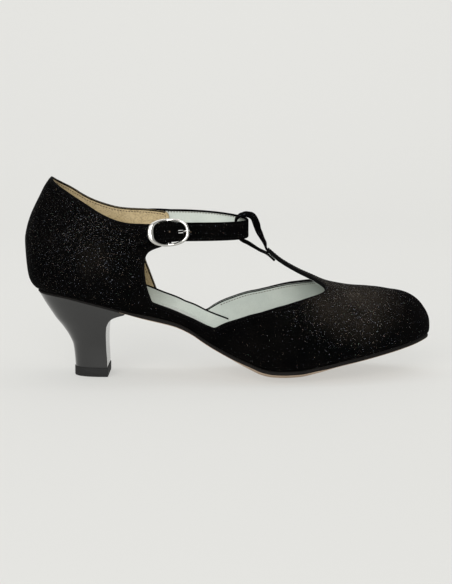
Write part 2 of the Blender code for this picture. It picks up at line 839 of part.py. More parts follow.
def loop_line():
    """The T-bar's loop: frames from the bar's end over the strap and back under the bar."""
    end = bar_end()
    points = []
    arches = []
    for back, up, arch in LOOP_PATH:
        drift = LOOP_DRIFT * min(back / -1.5, 1.0)
        points.append(end + Vector((back * STRAP_WIDTH, drift, up * STRAP_WIDTH)))
        arches.append(arch)
    for station in LOOP_TAIL_STATIONS:
        under = UPPER_WALL + GAP + LOOP_THICKNESS / 2
        points.append(wall(OUTER, station, 1.0) - ridge_normal(station) * under)
        arches.append(0.0)
    steps = 3
    line = []
    for i in range(len(points) - 1):
        a, b = points[i], points[i + 1]
        before = points[i - 1] if i else a * 2 - b
        after = points[i + 2] if i + 2 < len(points) else b * 2 - a
        for k in range(steps):
            t = k / steps
            line.append((through(before, a, b, after, t), arches[i] + (arches[i + 1] - arches[i]) * ease(t)))
    line.append((points[-1], 0.0))
    frames = []
    for k, (point, arch) in enumerate(line):
        tangent = (line[min(k + 1, len(line) - 1)][0] - line[max(k - 1, 0)][0]).normalized()
        across = Vector((0, 1, 0))
        out = across.cross(tangent).normalized()
        frames.append((point, out, out.cross(tangent).normalized(), 1.0, arch * LOOP_ARCH))
    return frames


def ridge_normal(station):
    """The upper's normal on its ridge, in the shoe's upright middle plane."""
    a = wall(OUTER, station - 0.05, 1.0)
    b = wall(OUTER, station + 0.05, 1.0)
    return Vector((a.z - b.z, 0, b.x - a.x)).normalized()


def buckle_mesh():
    """The buckle's bowed oval frame."""
    origin, along, across, out = buckle_frame()
    bm = bmesh.new()
    count, ring_count = 32, 8
    wire = BUCKLE_WIRE / 2
    half_length, half_width = BUCKLE_LENGTH / 2 - wire - BUCKLE_END_WIDEN, BUCKLE_WIDTH / 2 - wire
    rings = []
    for k in range(count):
        angle = 2 * math.pi * k / count
        c, s = math.cos(angle), math.sin(angle)
        u = math.copysign(abs(c) ** (2 / BUCKLE_ROUND), c)
        v = math.copysign(abs(s) ** (2 / BUCKLE_ROUND), s)
        rim = BUCKLE_BAR_LEVEL + (BUCKLE_RIM - BUCKLE_BAR_LEVEL) * (1 - math.cos(math.pi / 2 * u) ** 2)
        centre = origin + along * (u * half_length) + across * (v * half_width) + out * rim
        flat = Vector((
            abs(u) ** (BUCKLE_ROUND - 1) * math.copysign(1, u) / half_length,
            abs(v) ** (BUCKLE_ROUND - 1) * math.copysign(1, v) / half_width,
        )).normalized()
        sideways = along * flat.x + across * flat.y
        wide = wire + BUCKLE_END_WIDEN * abs(flat.x) ** 2
        ring = []
        for m in range(ring_count):
            turn = 2 * math.pi * (m + 0.5) / ring_count
            ring.append(centre + sideways * (wide * math.cos(turn)) + out * (wire * math.sin(turn)))
        rings.append(ring)
    loft(bm, rings + [rings[0]], close_ends=False)
    bmesh.ops.remove_doubles(bm, verts=bm.verts, dist=WELD / 30)
    return bm


def rod(points, radius, count=8, side=Vector((0, 1, 0)), taper=None):
    """A round wire along points, its rings set out from one steady side direction."""
    bm = bmesh.new()
    rings = []
    for k, point in enumerate(points):
        tangent = (points[min(k + 1, len(points) - 1)] - points[max(k - 1, 0)]).normalized()
        steady = (side - tangent * side.dot(tangent)).normalized()
        other = tangent.cross(steady)
        r = radius * (taper[k] if taper else 1.0)
        rings.append([
            point + (steady * math.cos(turn) + other * math.sin(turn)) * r
            for turn in (2 * math.pi * m / count for m in range(count))
        ])
    loft(bm, rings)
    return bm


def prong_mesh():
    """The prong: a ring round the bar, then a tongue through the strap and over the buckle's front rim."""
    origin, along, across, out = buckle_frame()
    radius = BUCKLE_BAR / 2 + GAP + PRONG_THICKNESS / 2
    flat = []
    for k in range(13):
        angle = math.radians(-25 - 245 * k / 12)
        flat.append((radius * math.cos(angle), BUCKLE_BAR_LEVEL + radius * math.sin(angle)))
    rows = [(a * BUCKLE_LENGTH, b * BUCKLE_LENGTH) for a, b in PRONG_PATH]
    rows = [flat[-1]] + rows
    for i in range(len(rows) - 1):
        before = rows[i - 1] if i else flat[-2]
        after = rows[i + 2] if i + 2 < len(rows) else rows[i + 1]
        for k in range(1, 4):
            t = k / 3
            flat.append(tuple(through(before[c], rows[i][c], rows[i + 1][c], after[c], t) for c in (0, 1)))
    points = [origin + along * a + out * b for a, b in flat]
    taper = [1.0] * (len(points) - len(PRONG_TIP)) + list(PRONG_TIP)
    return rod(points, PRONG_THICKNESS / 2, count=6, side=across, taper=taper)


def tab_mesh():
    """The quarter's end folded round the buckle's bar: a tube on a short tail, before it is bored."""
    origin, along, across, out = buckle_frame()
    skin = BUCKLE_BAR / 2 + GAP + TAB_THICKNESS
    profile = []
    for k in range(15):
        angle = math.radians(-105 + 210 * k / 14)
        profile.append((skin * math.cos(angle), BUCKLE_BAR_LEVEL + skin * math.sin(angle)))
    profile += [(-TAB_KNEE, 0.0), (-TAB_TAIL, 0.0), (-TAB_TAIL, -UPPER_WALL), (-TAB_KNEE, -UPPER_WALL)]
    bm = bmesh.new()
    loft(bm, [
        [origin + along * a + out * b + across * v for a, b in profile] for v in (-TAB_WIDTH / 2, TAB_WIDTH / 2)
    ])
    return bm


def main():
    for piece in list(bpy.data.objects):
        bpy.data.objects.remove(piece)
    thick = sole_thickness
    add("outsole", plate(-SOLE_MARGIN, lambda x: 0.0, thick, SOLE_SHARES), "sole_leather")
    low = GAP
    high = GAP + INSOLE_THICKNESS
    insole = plate(UPPER_WALL + GAP, lambda x: thick(x) + low, lambda x: thick(x) + high, SOLE_SHARES)
    add("insole", insole, "insole_leather")
    upper = add("upper", upper_sheet(), "suede")
    shell = upper.modifiers.new("wall", "SOLIDIFY")
    shell.thickness = UPPER_WALL
    shell.offset = -1.0
    add("heel", heel_mesh(), "heel_gloss", 32)
    add("top_lift", lift_mesh(), "lift_rubber", 32)
    origin, along, across, out = buckle_frame()
    strap = add("ankle_strap", ribbon(strap_line(), STRAP_WIDTH, STRAP_THICKNESS), "suede")
    slot = box(
        origin + along * SLOT_MIDDLE + out * STRAP_HUMP,
        (along, across, out),
        (SLOT_LENGTH, SLOT_WIDTH, 4 * STRAP_HUMP),
    )
    cutter("strap_slot", slot, strap)
    add("t_bar_loop", ribbon(loop_line(), LOOP_WIDTH, LOOP_THICKNESS), "suede")
    buckle = add("buckle", buckle_mesh(), "buckle_metal")
    ends = [
        origin + out * BUCKLE_BAR_LEVEL + across * v * (BUCKLE_WIDTH / 2 - BUCKLE_WIRE / 2) for v in (-1, 1)
    ]
    bar = add("buckle_bar", rod(ends, BUCKLE_BAR / 2, side=along), "buckle_metal")
    bar.hide_render = True
    bar.display_type = "WIRE"
    join = buckle.modifiers.new("bar", "BOOLEAN")
    join.operation = "UNION"
    join.solver = "EXACT"
    join.object = bar
    add("buckle_prong", prong_mesh(), "buckle_metal")
    tab = add("buckle_tab", tab_mesh(), "suede")
    ends = [origin + out * BUCKLE_BAR_LEVEL + across * v * TAB_WIDTH for v in (-1, 1)]
    cutter("tab_bore", rod(ends, BUCKLE_BAR / 2 + GAP, count=16, side=along), tab)
    gate = box(
        origin + out * BUCKLE_BAR_LEVEL,
        (along, across, out),
        (2 * SLOT_REACH, SLOT_WIDTH, 6 * BUCKLE_WIRE),
    )
    cutter("tab_slot", gate, tab)


main()
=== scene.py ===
"""Looks of a ballroom dance shoe for the right foot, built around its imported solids.

Metres, +Z up, toe towards +X, inner (arch) side towards +Y. The origin is under the heel's top lift.
The upper, straps, sole and heel are made again as fine surfaces on the same last, from the same sizes.
"""
import math
from functools import lru_cache

import bmesh
import bpy
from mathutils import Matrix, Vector


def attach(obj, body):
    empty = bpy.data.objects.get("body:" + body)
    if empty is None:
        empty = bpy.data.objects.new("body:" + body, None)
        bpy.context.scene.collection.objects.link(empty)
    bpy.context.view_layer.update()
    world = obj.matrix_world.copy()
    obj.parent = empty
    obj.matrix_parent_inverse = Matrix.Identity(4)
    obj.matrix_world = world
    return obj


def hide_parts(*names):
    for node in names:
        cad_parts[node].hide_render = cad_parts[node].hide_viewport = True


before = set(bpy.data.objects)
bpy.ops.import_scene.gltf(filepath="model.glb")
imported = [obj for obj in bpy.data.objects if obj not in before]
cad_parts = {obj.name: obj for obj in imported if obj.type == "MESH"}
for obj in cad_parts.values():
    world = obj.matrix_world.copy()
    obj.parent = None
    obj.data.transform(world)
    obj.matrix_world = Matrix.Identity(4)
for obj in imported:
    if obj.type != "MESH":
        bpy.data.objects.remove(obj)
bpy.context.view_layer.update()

MM = 0.001

# Driving sizes of the last
SHOE_LENGTH = 240 * MM
BALL_WIDTH = 75 * MM
HEEL_HEIGHT = 50 * MM
TOE_SPRING = 21 * MM
LAST_RISE = 80 * MM
COUNTER_BULGE = 8.5 * MM
BALL_CROWN = 5.2 * MM

# Walls and plates
UPPER_WALL = 1.6 * MM
VAMP_LAP = 0.5 * MM
SOLE_THICKNESS = 2.2 * MM
SEAT_THICKNESS = 1.2 * MM
SKIVE_LENGTH = 15 * MM
SOLE_MARGIN = 0.8 * MM
INSOLE_THICKNESS = 1.8 * MM
GAP = 0.3 * MM
FOOT_GAP = 0.4 * MM

# Heel and its tip
HEEL_SEAT_LENGTH = 52 * MM
HEEL_TIP_LENGTH = 19.8 * MM
HEEL_TIP_WIDTH = 25 * MM
HEEL_TIP_SETBACK = 20.8 * MM
LIFT_HEIGHT = 5.6 * MM
LIFT_OVERHANG = 0.35 * MM
LIFT_BEVEL = 0.5 * MM

# Ankle strap, T-bar loop and buckle
STRAP_WIDTH = 10.8 * MM
STRAP_THICKNESS = 1.4 * MM
APEX_BACK = 11.8 * MM
APEX_SIDE = 1.3 * MM
APEX_RISE = 13.0 * MM
STRAP_NOSE = 0.4 * MM
LOOP_WIDTH = 9 * MM
LOOP_THICKNESS = 1.3 * MM
LOOP_ARCH = 3.4 * MM
BUCKLE_LENGTH = 24 * MM
BUCKLE_WIDTH = 16.0 * MM
BUCKLE_WIRE = 1.8 * MM
BUCKLE_BAR = 1.2 * MM
PRONG_THICKNESS = 1.1 * MM
TAB_THICKNESS = 0.7 * MM

# A row for each station of the last, from the back of the heel to the tip of the toe.
# along, crest: shares of SHOE_LENGTH, at the sole's edge and on the ridge above it
# outer, inner: half widths of the sole, shares of BALL_WIDTH; swing: the middle line, share of BALL_WIDTH
# rise: height of the ridge over the sole, share of LAST_RISE; round: exponent of the section's curve
# bulge: how far the wall leans out, share of COUNTER_BULGE; span: height of that bulge, share of LAST_RISE
# crown: how far the sole's edge lies above its middle, share of BALL_CROWN
STATION_COLUMNS = ("along", "outer", "inner", "swing", "crest", "rise", "round", "bulge", "span", "crown")
STATIONS = (
    (0.035, 0.000, 0.000, 0.000, 0.192, 1.003, 4.0, 1.00, 0.70, 0.00),
    (0.044, 0.120, 0.120, 0.000, 0.194, 1.004, 4.0, 0.96, 0.70, 0.00),
    (0.067, 0.220, 0.220, 0.000, 0.200, 1.008, 4.0, 0.80, 0.69, 0.00),
    (0.108, 0.291, 0.291, 0.000, 0.213, 1.016, 4.0, 0.60, 0.67, 0.00),
    (0.167, 0.328, 0.328, 0.000, 0.233, 1.031, 4.0, 0.46, 0.66, 0.00),
    (0.229, 0.341, 0.334, 0.000, 0.263, 1.050, 4.0, 0.40, 0.64, 0.00),
    (0.300, 0.339, 0.302, 0.000, 0.308, 1.081, 3.8, 0.36, 0.60, 0.12),
    (0.375, 0.352, 0.275, 0.000, 0.375, 1.076, 3.4, 0.23, 0.50, 0.30),
    (0.446, 0.387, 0.288, 0.000, 0.446, 1.055, 3.0, 0.19, 0.40, 0.40),
    (0.513, 0.437, 0.347, 0.007, 0.513, 1.005, 2.7, 0.19, 0.35, 0.65),
    (0.575, 0.475, 0.427, 0.020, 0.575, 0.945, 2.5, 0.21, 0.33, 0.92),
    (0.633, 0.491, 0.493, 0.033, 0.633, 0.822, 2.35, 0.23, 0.33, 1.00),
    (0.692, 0.477, 0.528, 0.051, 0.692, 0.713, 2.25, 0.23, 0.33, 1.02),
    (0.754, 0.435, 0.520, 0.067, 0.750, 0.598, 2.2, 0.23, 0.30, 0.82),
    (0.817, 0.368, 0.488, 0.083, 0.800, 0.526, 2.2, 0.22, 0.27, 0.56),
    (0.875, 0.285, 0.435, 0.096, 0.841, 0.484, 2.25, 0.22, 0.25, 0.38),
    (0.925, 0.190, 0.365, 0.104, 0.866, 0.455, 2.35, 0.20, 0.23, 0.24),
    (0.969, 0.067, 0.277, 0.107, 0.884, 0.428, 2.5, 0.17, 0.20, 0.10),
    (0.998, -0.107, 0.107, 0.107, 0.884, 0.428, 2.6, 0.16, 0.20, 0.00),
)

# How the wall leans out over its foot: height as a share of the bulge's span, lean as a share of the bulge
LEAN = (
    (0.0, 0.0), (0.016, 0.27), (0.08, 0.62), (0.145, 0.77), (0.27, 0.88), (0.39, 0.95), (0.53, 1.0),
    (0.65, 0.9), (0.78, 0.7), (0.9, 0.46), (1.0, 0.29), (1.12, 0.2), (1.4, 0.0),
)

# The underside's middle line: along, heel and toe, shares of SHOE_LENGTH, HEEL_HEIGHT and TOE_SPRING
SOLE_LINE = (
    (0.035, 1.0, 0.0), (0.096, 0.968, 0.0), (0.16, 0.902, 0.0), (0.25, 0.79, 0.0), (0.292, 0.724, 0.0),
    (0.342, 0.655, 0.0), (0.375, 0.605, 0.0), (0.413, 0.515, 0.0), (0.446, 0.405, 0.0),
    (0.48, 0.3, 0.0), (0.513, 0.205, 0.0), (0.55, 0.11, 0.0), (0.583, 0.034, 0.0), (0.61, 0.006, 0.0),
    (0.64, 0.0, 0.0), (0.672, 0.0, 0.014), (0.721, 0.0, 0.125), (0.788, 0.0, 0.34), (0.858, 0.0, 0.55),
    (0.93, 0.0, 0.765), (1.0, 0.0, 1.0),
)

# The heel between its tip (0) and its seat (1): level, back, front and side say how far each has flared
HEEL_ROWS = (
    (0.0, 0.0, 0.0, 0.0), (0.15, 0.02, -0.015, 0.01), (0.3, 0.06, -0.045, 0.04),
    (0.42, 0.163, -0.05, 0.12), (0.545, 0.333, -0.04, 0.25), (0.67, 0.55, 0.0, 0.42),
    (0.75, 0.665, 0.09, 0.54), (0.83, 0.78, 0.27, 0.67), (0.9, 0.875, 0.56, 0.8),
    (0.945, 0.93, 0.8, 0.89), (0.975, 0.97, 0.94, 0.95), (1.0, 1.0, 1.0, 1.0),
)

# What is cut away above each side's topline, as an outline on the last: station, share of the way up its
# section. A third value marks a corner.
OUTER_TOPLINE = (
    (-0.60, 0.695), (0.00, 0.700), (1.00, 0.690), (2.20, 0.658), (3.50, 0.605), (4.40, 0.555),
    (5.00, 0.532), (5.50, 0.526), (6.05, 0.536), (6.38, 0.549), (6.54, 0.540), (6.62, 0.470),
    (6.57, 0.434), (6.33, 0.406), (6.12, 0.375), (6.03, 0.335), (6.01, 0.283), (6.03, 0.226),
    (6.08, 0.175), (6.16, 0.131), (6.24, 0.092, 1), (6.70, 0.080), (7.20, 0.072), (7.70, 0.082),
    (8.30, 0.106, 1), (8.75, 0.188), (9.35, 0.273), (9.95, 0.352), (10.65, 0.438), (11.20, 0.495),
    (11.85, 0.568), (12.35, 0.630), (12.65, 0.692), (12.78, 0.757), (12.68, 0.825), (12.38, 0.880),
    (11.95, 0.918), (11.30, 0.938), (10.65, 0.945), (10.42, 0.946, 1), (10.42, 1.100, 1),
    (-0.60, 1.100, 1),
)
INNER_TOPLINE = (
    (-0.60, 0.695), (0.00, 0.700), (1.00, 0.688), (2.60, 0.641), (3.70, 0.590), (4.55, 0.571),
    (5.15, 0.574), (6.05, 0.600), (6.55, 0.619), (6.68, 0.608), (6.70, 0.575), (6.64, 0.535),
    (6.40, 0.508), (6.15, 0.475), (5.98, 0.425), (5.88, 0.360), (5.89, 0.285), (6.04, 0.212),
    (6.22, 0.130), (6.27, 0.104, 1), (6.55, 0.098), (7.20, 0.088), (7.95, 0.106, 1), (8.50, 0.222),
    (9.10, 0.322), (9.70, 0.402), (10.95, 0.554), (11.85, 0.664), (12.30, 0.738), (12.52, 0.815),
    (12.45, 0.870), (12.10, 0.905), (11.60, 0.925), (11.00, 0.938), (10.65, 0.945), (10.42, 0.946, 1),
    (10.42, 1.100, 1), (-0.60, 1.100, 1),
)

# Where the vamp's wing laps over the quarter's strip: a station and how far it slants up to the topline
SEAM_STATION = 8.0
SEAM_FOOT = -0.5
SEAM_TOP = 0.2
SEAM_HEIGHT = 0.106

# The strap's middle line on the outer and inner quarter: station of the last, share of the way up its section
STRAP_OUTER_LINE = (
    (5.0, 0.408), (5.4, 0.436), (5.86, 0.462), (6.3, 0.491), (6.75, 0.523),
)
STRAP_INNER_LINE = (
    (6.0, 0.542), (6.4, 0.566), (6.75, 0.586),
)
STRAP_LAY = 0.35 * MM
STRAP_HUMP = 3.3 * MM
HUMP_REACH = 9 * MM
HUMP_RUN = 11.0 * MM
BUCKLE_TILT = math.radians(4)
BUCKLE_LEAN = 0.05
BUCKLE_DROP = 0.35 * MM

# The T-bar's loop over the ankle strap, from the bar's end: back and up as shares of STRAP_WIDTH, arch share
LOOP_PATH = (
    (-0.04, 0.04, 0.0), (-0.24, 0.42, 0.4), (-0.58, 0.93, 0.8), (-0.77, 1.38, 1.0), (-0.91, 1.72, 0.9),
    (-1.16, 1.84, 0.7), (-1.42, 1.84, 0.45), (-1.64, 1.72, 0.2), (-1.75, 1.42, 0.0), (-1.73, 1.08, 0.0),
    (-1.6, 0.8, 0.2), (-1.34, 0.57, 0.3), (-0.96, 0.37, 0.3), (-0.46, 0.02, 0.1),
)
LOOP_TAIL_STATIONS = (10.5, 10.8)

BUCKLE_RIM = 4.6 * MM
BUCKLE_BAR_LEVEL = 1.3 * MM
BUCKLE_END_WIDEN = 0.55 * MM
BUCKLE_ROUND = 2.5
BUCKLE_SHIFT = (-0.6, 0.8)
TAB_SHOWN = 12.2 * MM
TAB_TAIL = 4.6 * MM

# The prong's line beyond the ring round its bar: along the strap and outwards, as shares of BUCKLE_LENGTH
PRONG_PATH = (
    (0.083, 0.104), (0.167, 0.082), (0.229, 0.086), (0.292, 0.128), (0.35, 0.2), (0.396, 0.248),
    (0.442, 0.266), (0.475, 0.264), (0.505, 0.25),
)

PRONG_TAPER = (0.99, 0.96, 0.9, 0.8, 0.62, 0.3)

LAST_STATION = len(STATIONS) - 1
POLE_STATION = LAST_STATION - 1.6
FLAT_SHARE = 0.4
HEEL_ROUND = 2.5
LOOP_DRIFT = -1.0 * MM
SLOT_WIDTH = 2.0 * MM
SLOT_REACH = 2.5 * MM
TAB_KNEE = 2.6 * MM
TURN_SPACING = 1.5
SECTION_STEPS = 40
OUTER, INNER = -1, 1


def smooth(rows, x, column):
    """A monotone cubic through one column of a table, whose first column is the position."""
    last = len(rows) - 1
    if x <= rows[0][0]:
        return rows[0][column]
    if x >= rows[last][0]:
        return rows[last][column]
    i = max(k for k in range(last) if rows[k][0] <= x)

    def slope(k):
        if k < 0 or k >= last:
            return None
        return (rows[k + 1][column] - rows[k][column]) / (rows[k + 1][0] - rows[k][0])

    def tangent(k):
        before, after = slope(k - 1), slope(k)
        if before is None or after is None:
            return before if after is None else after
        if before * after <= 0:
            return 0.0
        return 2 * before * after / (before + after)

    width = rows[i + 1][0] - rows[i][0]
    t = (x - rows[i][0]) / width
    a, b = rows[i][column], rows[i + 1][column]
    return (
        a * (1 + 2 * t) * (1 - t) ** 2
        + b * t * t * (3 - 2 * t)
        + width * (tangent(i) * t * (1 - t) ** 2 - tangent(i + 1) * t * t * (1 - t))
    )


def through(before, a, b, after, t):
    """A Catmull-Rom curve's value between a and b."""
    return 0.5 * (
        2 * a
        + (b - before) * t
        + (2 * before - 5 * a + 4 * b - after) * t * t
        + (3 * a - before - 3 * b + after) * t ** 3
    )


def ease(t):
    """0 to 1 with level ends."""
    t = min(max(t, 0.0), 1.0)
    return t * t * (3 - 2 * t)


ORIGIN_X = STATIONS[0][0] * SHOE_LENGTH + HEEL_TIP_SETBACK + HEEL_TIP_LENGTH / 2


def column_at(name, station):
    """A column of STATIONS at any station."""
    rows = tuple((k,) + row for k, row in enumerate(STATIONS))
    return smooth(rows, station, 1 + STATION_COLUMNS.index(name))


def on_last(side, station):
    """Past the heel's back or the toe's tip, the same place on the other side."""
    if station < 0:
        return -side, -station
    if station > LAST_STATION:
        return -side, 2 * LAST_STATION - station
    return side, station


@lru_cache(maxsize=None)
def outline(side, station):
    """The sole edge's place in plan."""
    side, station = on_last(side, station)

    def point(k):
        use, k = on_last(side, k)
        width = STATIONS[k][1 if use == OUTER else 2] * BALL_WIDTH
        return Vector((STATIONS[k][0] * SHOE_LENGTH - ORIGIN_X, use * width))

    i = min(int(math.floor(station)), LAST_STATION - 1)
    return through(point(i - 1), point(i), point(i + 1), point(i + 2), station - i)


def outward(side, station):
    """The outline's normal in plan, away from the foot."""
    step = 0.05
    run = (outline(side, station + step) - outline(side, station - step)).normalized()
    normal = Vector((run.y, -run.x)) * (-side)
    return normal.normalized()


def sole_bottom(x):
    """Height of the underside's middle line."""
    along = (x + ORIGIN_X) / SHOE_LENGTH
    return smooth(SOLE_LINE, along, 1) * HEEL_HEIGHT + smooth(SOLE_LINE, along, 2) * TOE_SPRING


def sole_thickness(x):
    """The sole is skived thin over the heel seat."""
    seat_end = STATIONS[0][0] * SHOE_LENGTH - ORIGIN_X + HEEL_SEAT_LENGTH
    return SEAT_THICKNESS + (SOLE_THICKNESS - SEAT_THICKNESS) * ease((x - seat_end) / SKIVE_LENGTH)


def plate_point(side, station, share, inset, level):
    """A point of the sole's layers: share 0 at the edge to 1 in the middle, level above the underside."""
    edge = outline(side, station)
    middle = Vector((
        column_at("crest", station) * SHOE_LENGTH - ORIGIN_X,
        column_at("swing", station) * BALL_WIDTH,
    ))
    place = (edge - outward(side, station) * inset).lerp(middle, share)
    reach = (place - middle).length / (edge - middle).length
    rim = ease((reach - FLAT_SHARE) / (1 - FLAT_SHARE))
    crown = column_at("crown", station) * BALL_CROWN * rim
    return Vector((place.x, place.y, sole_bottom(place.x) + crown + level))


@lru_cache(maxsize=None)
def section(side, station):
    """The wall's curve from the sole's edge to the ridge: its form, and its angles by length."""
    foot = plate_point(side, station, 0.0, 0.0, 0.0)
    foot.z += sole_thickness(foot.x) + FOOT_GAP
    crest_x = column_at("crest", station) * SHOE_LENGTH - ORIGIN_X
    crest_z = sole_bottom(crest_x) + sole_thickness(crest_x) + column_at("rise", station) * LAST_RISE
    crest = Vector((crest_x, column_at("swing", station) * BALL_WIDTH, crest_z))
    form = (
        foot,
        (crest - foot).xy.length,
        crest.z - foot.z,
        (crest - foot).xy.normalized(),
        column_at("round", station),
        column_at("bulge", station) * COUNTER_BULGE,
        column_at("span", station) * LAST_RISE,
    )
    angles = [math.pi / 2 * k / SECTION_STEPS for k in range(SECTION_STEPS + 1)]
    points = [on_section(form, a) for a in angles]
    lengths = [0.0]
    for a, b in zip(points, points[1:]):
        lengths.append(lengths[-1] + (b - a).length)
    shares = [(length / lengths[-1], angle) for length, angle in zip(lengths, angles)]
    return form, shares


def on_section(form, angle):
    """A point of a section: a rounded quarter that the bulge pushes outwards near its foot."""
    foot, run, rise, inward, power, bulge, span = form
    c, s = max(math.cos(angle), 0.0), math.sin(angle)
    size = (c ** power + s ** power) ** (1 / power)
    up = rise * s / size
    lean = bulge * smooth(LEAN, up / span, 1)
    place = foot.xy + inward * (run * (1 - c / size) - lean)
    return Vector((place.x, place.y, foot.z + up))


def wall(side, station, share):
    """A point of the upper's outer face: share 0 at the sole's edge to 1 on the ridge."""
    side, station = on_last(side, station)
    form, shares = section(side, station)
    share = min(max(share, 0.0), 1.0)
    for (low, a), (high, b) in zip(shares, shares[1:]):
        if share <= high:
            return on_section(form, a + (b - a) * (share - low) / (high - low))
    return on_section(form, math.pi / 2)


def wall_normal(side, station, share):
    """The outer face's normal, away from the foot."""
    step = 0.02
    along = wall(side, station + step, share) - wall(side, station - step, share)
    up = wall(side, station, min(share + step, 1.0)) - wall(side, station, max(share - step, 0.0))
    normal = along.cross(up) * (1 if side == OUTER else -1)
    return normal.normalized()


def ridge_normal(station):
    """The upper's normal on its ridge, in the shoe's upright middle plane."""
    a = wall(OUTER, station - 0.05, 1.0)
    b = wall(OUTER, station + 0.05, 1.0)
    return Vector((a.z - b.z, 0, b.x - a.x)).normalized()


def topline(side):
    """A side's cut-away outline as a fine line."""
    rows = OUTER_TOPLINE if side == OUTER else INNER_TOPLINE
    return curve_through([Vector(row[:2]) for row in rows], TOPLINE_STEPS, [len(row) > 2 for row in rows])


def curve_through(points, steps, corner):
    """A smooth line through points, some of them corners."""
    made = []
    for i in range(len(points) - 1):
        a, b = points[i], points[i + 1]
        before = a * 2 - b if i == 0 or corner[i] else points[i - 1]
        after = b * 2 - a if i + 2 == len(points) or corner[i + 1] else points[i + 2]
        made += [through(before, a, b, after, k / steps) for k in range(steps)]
    return made + [points[-1]]


def inside(polygon, x, y):
    """Whether a point is inside a closed outline."""
    found = False
    for a, b in zip(polygon, polygon[1:] + polygon[:1]):
        if (a.y > y) != (b.y > y) and x < a.x + (b.x - a.x) * (y - a.y) / (b.y - a.y):
            found = not found
    return found


def loft(bm, rings, close_ends=True):
    """Skin between rings of equal counts."""
    made = [[bm.verts.new(p) for p in ring] for ring in rings]
    for a, b in zip(made, made[1:]):
        for k in range(len(a)):
            after = (k + 1) % len(a)
            bm.faces.new((a[k], a[after], b[after], b[k]))
    if close_ends:
        bm.faces.new(made[0][::-1])
        bm.faces.new(made[-1])
    return made


def squared(angle, power):
    """A point of a superellipse with half axes of one."""
    c, s = math.cos(angle), math.sin(angle)
    return math.copysign(abs(c) ** (2 / power), c), math.copysign(abs(s) ** (2 / power), s)


def ring_about(centre, across, a, up, b, count, power=2, start=0.0):
    """Points about a centre with half axes a and b: an ellipse, squarer with a higher power."""
    points = (squared(2 * math.pi * (m + start) / count, power) for m in range(count))
    return [centre + across * (a * c) + up * (b * s) for c, s in points]


def tangent_at(points, k):
    """The way an open line of points runs at one of them."""
    return (points[min(k + 1, len(points) - 1)] - points[max(k - 1, 0)]).normalized()


def d_outline(back, front, half):
    """A heel's outline in plan: a round back and a straight breast."""
    points = [squared(math.pi * (k / (2 * HEEL_STEPS) - 0.5), HEEL_ROUND) for k in range(2 * HEEL_STEPS + 1)]
    return [(front - (front - back) * c, half * s) for c, s in points]


def strap_side(side, rows, steps):
    """Points of the strap's line on a quarter, with the wall's normal and the way across."""
    made = []
    for k in range(steps + 1):
        station = rows[0][0] + (rows[-1][0] - rows[0][0]) * k / steps
        share = smooth(rows, station, 1)
        point = wall(side, station, share)
        out = wall_normal(side, station, share)
        made.append((point + out * (STRAP_LAY + STRAP_THICKNESS / 2), out))
    return made


def buckle_frame():
    """The buckle's origin on the quarter under its bar, and the ways along the strap, across it and out."""
    station, share = STRAP_OUTER_LINE[-1]
    origin = wall(OUTER, station, share)
    out = wall_normal(OUTER, station, share)
    along = Vector((math.cos(BUCKLE_TILT), 0, math.sin(BUCKLE_TILT)))
    along = (along - out * along.dot(out)).normalized()
    along, out = (along - out * BUCKLE_LEAN).normalized(), (out + along * BUCKLE_LEAN).normalized()
    across = along.cross(out)
    return origin + across * BUCKLE_DROP, along, across, out


def bar_end():
    """The end of the T-bar, in the middle of its wall."""
    station = OUTER_TOPLINE[-3][0]
    return wall(OUTER, station, 1.0) - ridge_normal(station) * (UPPER_WALL / 2)

# The upper's three layers, as depths under the face of the last
SKIN_DEPTH = 0.9 * MM
VAMP_SKIVE = 0.1 * MM
LINING_DEPTH = 1.6 * MM
UNDERLAP = 0.5
LINING_SEAM = 6.25
EAR_SHARE = 0.4
EAR_SEAM = 6.76
EAR_FRONT = (6.3, 7.3)

# The folded upper line of the inner waist strip: station, share
STRIP_LINE = (
    (5.8, 0.121), (5.94, 0.117), (6.25, 0.108), (6.54, 0.1), (7.23, 0.087), (7.94, 0.106),
    (8.24, 0.114), (8.58, 0.123), (8.78, 0.127),
)

# Fineness of the surfaces
COLUMNS = 8
ROWS = 46
TOPLINE_STEPS = 10
HEEL_STEPS = 32
HEEL_LEVELS = 56
STRIP_STEPS = 60
FOLD_SIDES = 16
WELD = 0.03 * MM

# The height of the T-bar's side edges at its end
BAR_EDGE = 0.947

# Folded edge, stitches and strap details
FOLD_IN = 0.46 * MM
FOLD_HALF = 0.62 * MM
FOLD_PROUD = 0.05 * MM
FOLD_SQUARE = 3.6
STRIP_DEPTH = 0.4 * MM
STRIP_FOLD = 0.5 * MM
STRIP_FOLD_THICK = 0.35 * MM
PATH_STEP = 0.8 * MM
STITCH_IN = 1.9 * MM
STITCH_LENGTH = 1.15 * MM
STITCH_PITCH = 1.75 * MM
STITCH_RADIUS = 0.13 * MM
LINING_STITCH_RADIUS = 0.18 * MM
STRAP_STITCH_IN = 1.6 * MM
STRAP_STITCH_LEVEL = 0.46
STITCH_SIDES = 6
STITCH_FLAT = 1.3
STITCH_RISE = 0.3
STITCH_DIP = 0.5
STITCH_SUNK = 0.2
WAIST_SHARE = 0.2
BAND_LINING_IN = 0.5 * MM
BAND_LINING_SUNK = 0.86
BAND_LEAST = 1.05

# The strap within the oval, where it swells, and its holes: the prong's middle, length and width, then the
# pinholes' place along the buckle, pitch, radius, and floor and brown pad above the strap's middle
STRAP_SWELL = 0.10
SWELL_AT = 0.5 * MM
SWELL_REACH = 5.5 * MM
PRONG_HOLE = (7.2 * MM, 2.8 * MM, 1.8 * MM)
HOLE_AT = 7.1 * MM
HOLE_PITCH = 6.35 * MM
HOLE_RADIUS = 0.6 * MM
HOLE_FLOOR = 0.3 * MM
HOLE_PAD = (0.28 * MM, 0.36 * MM)

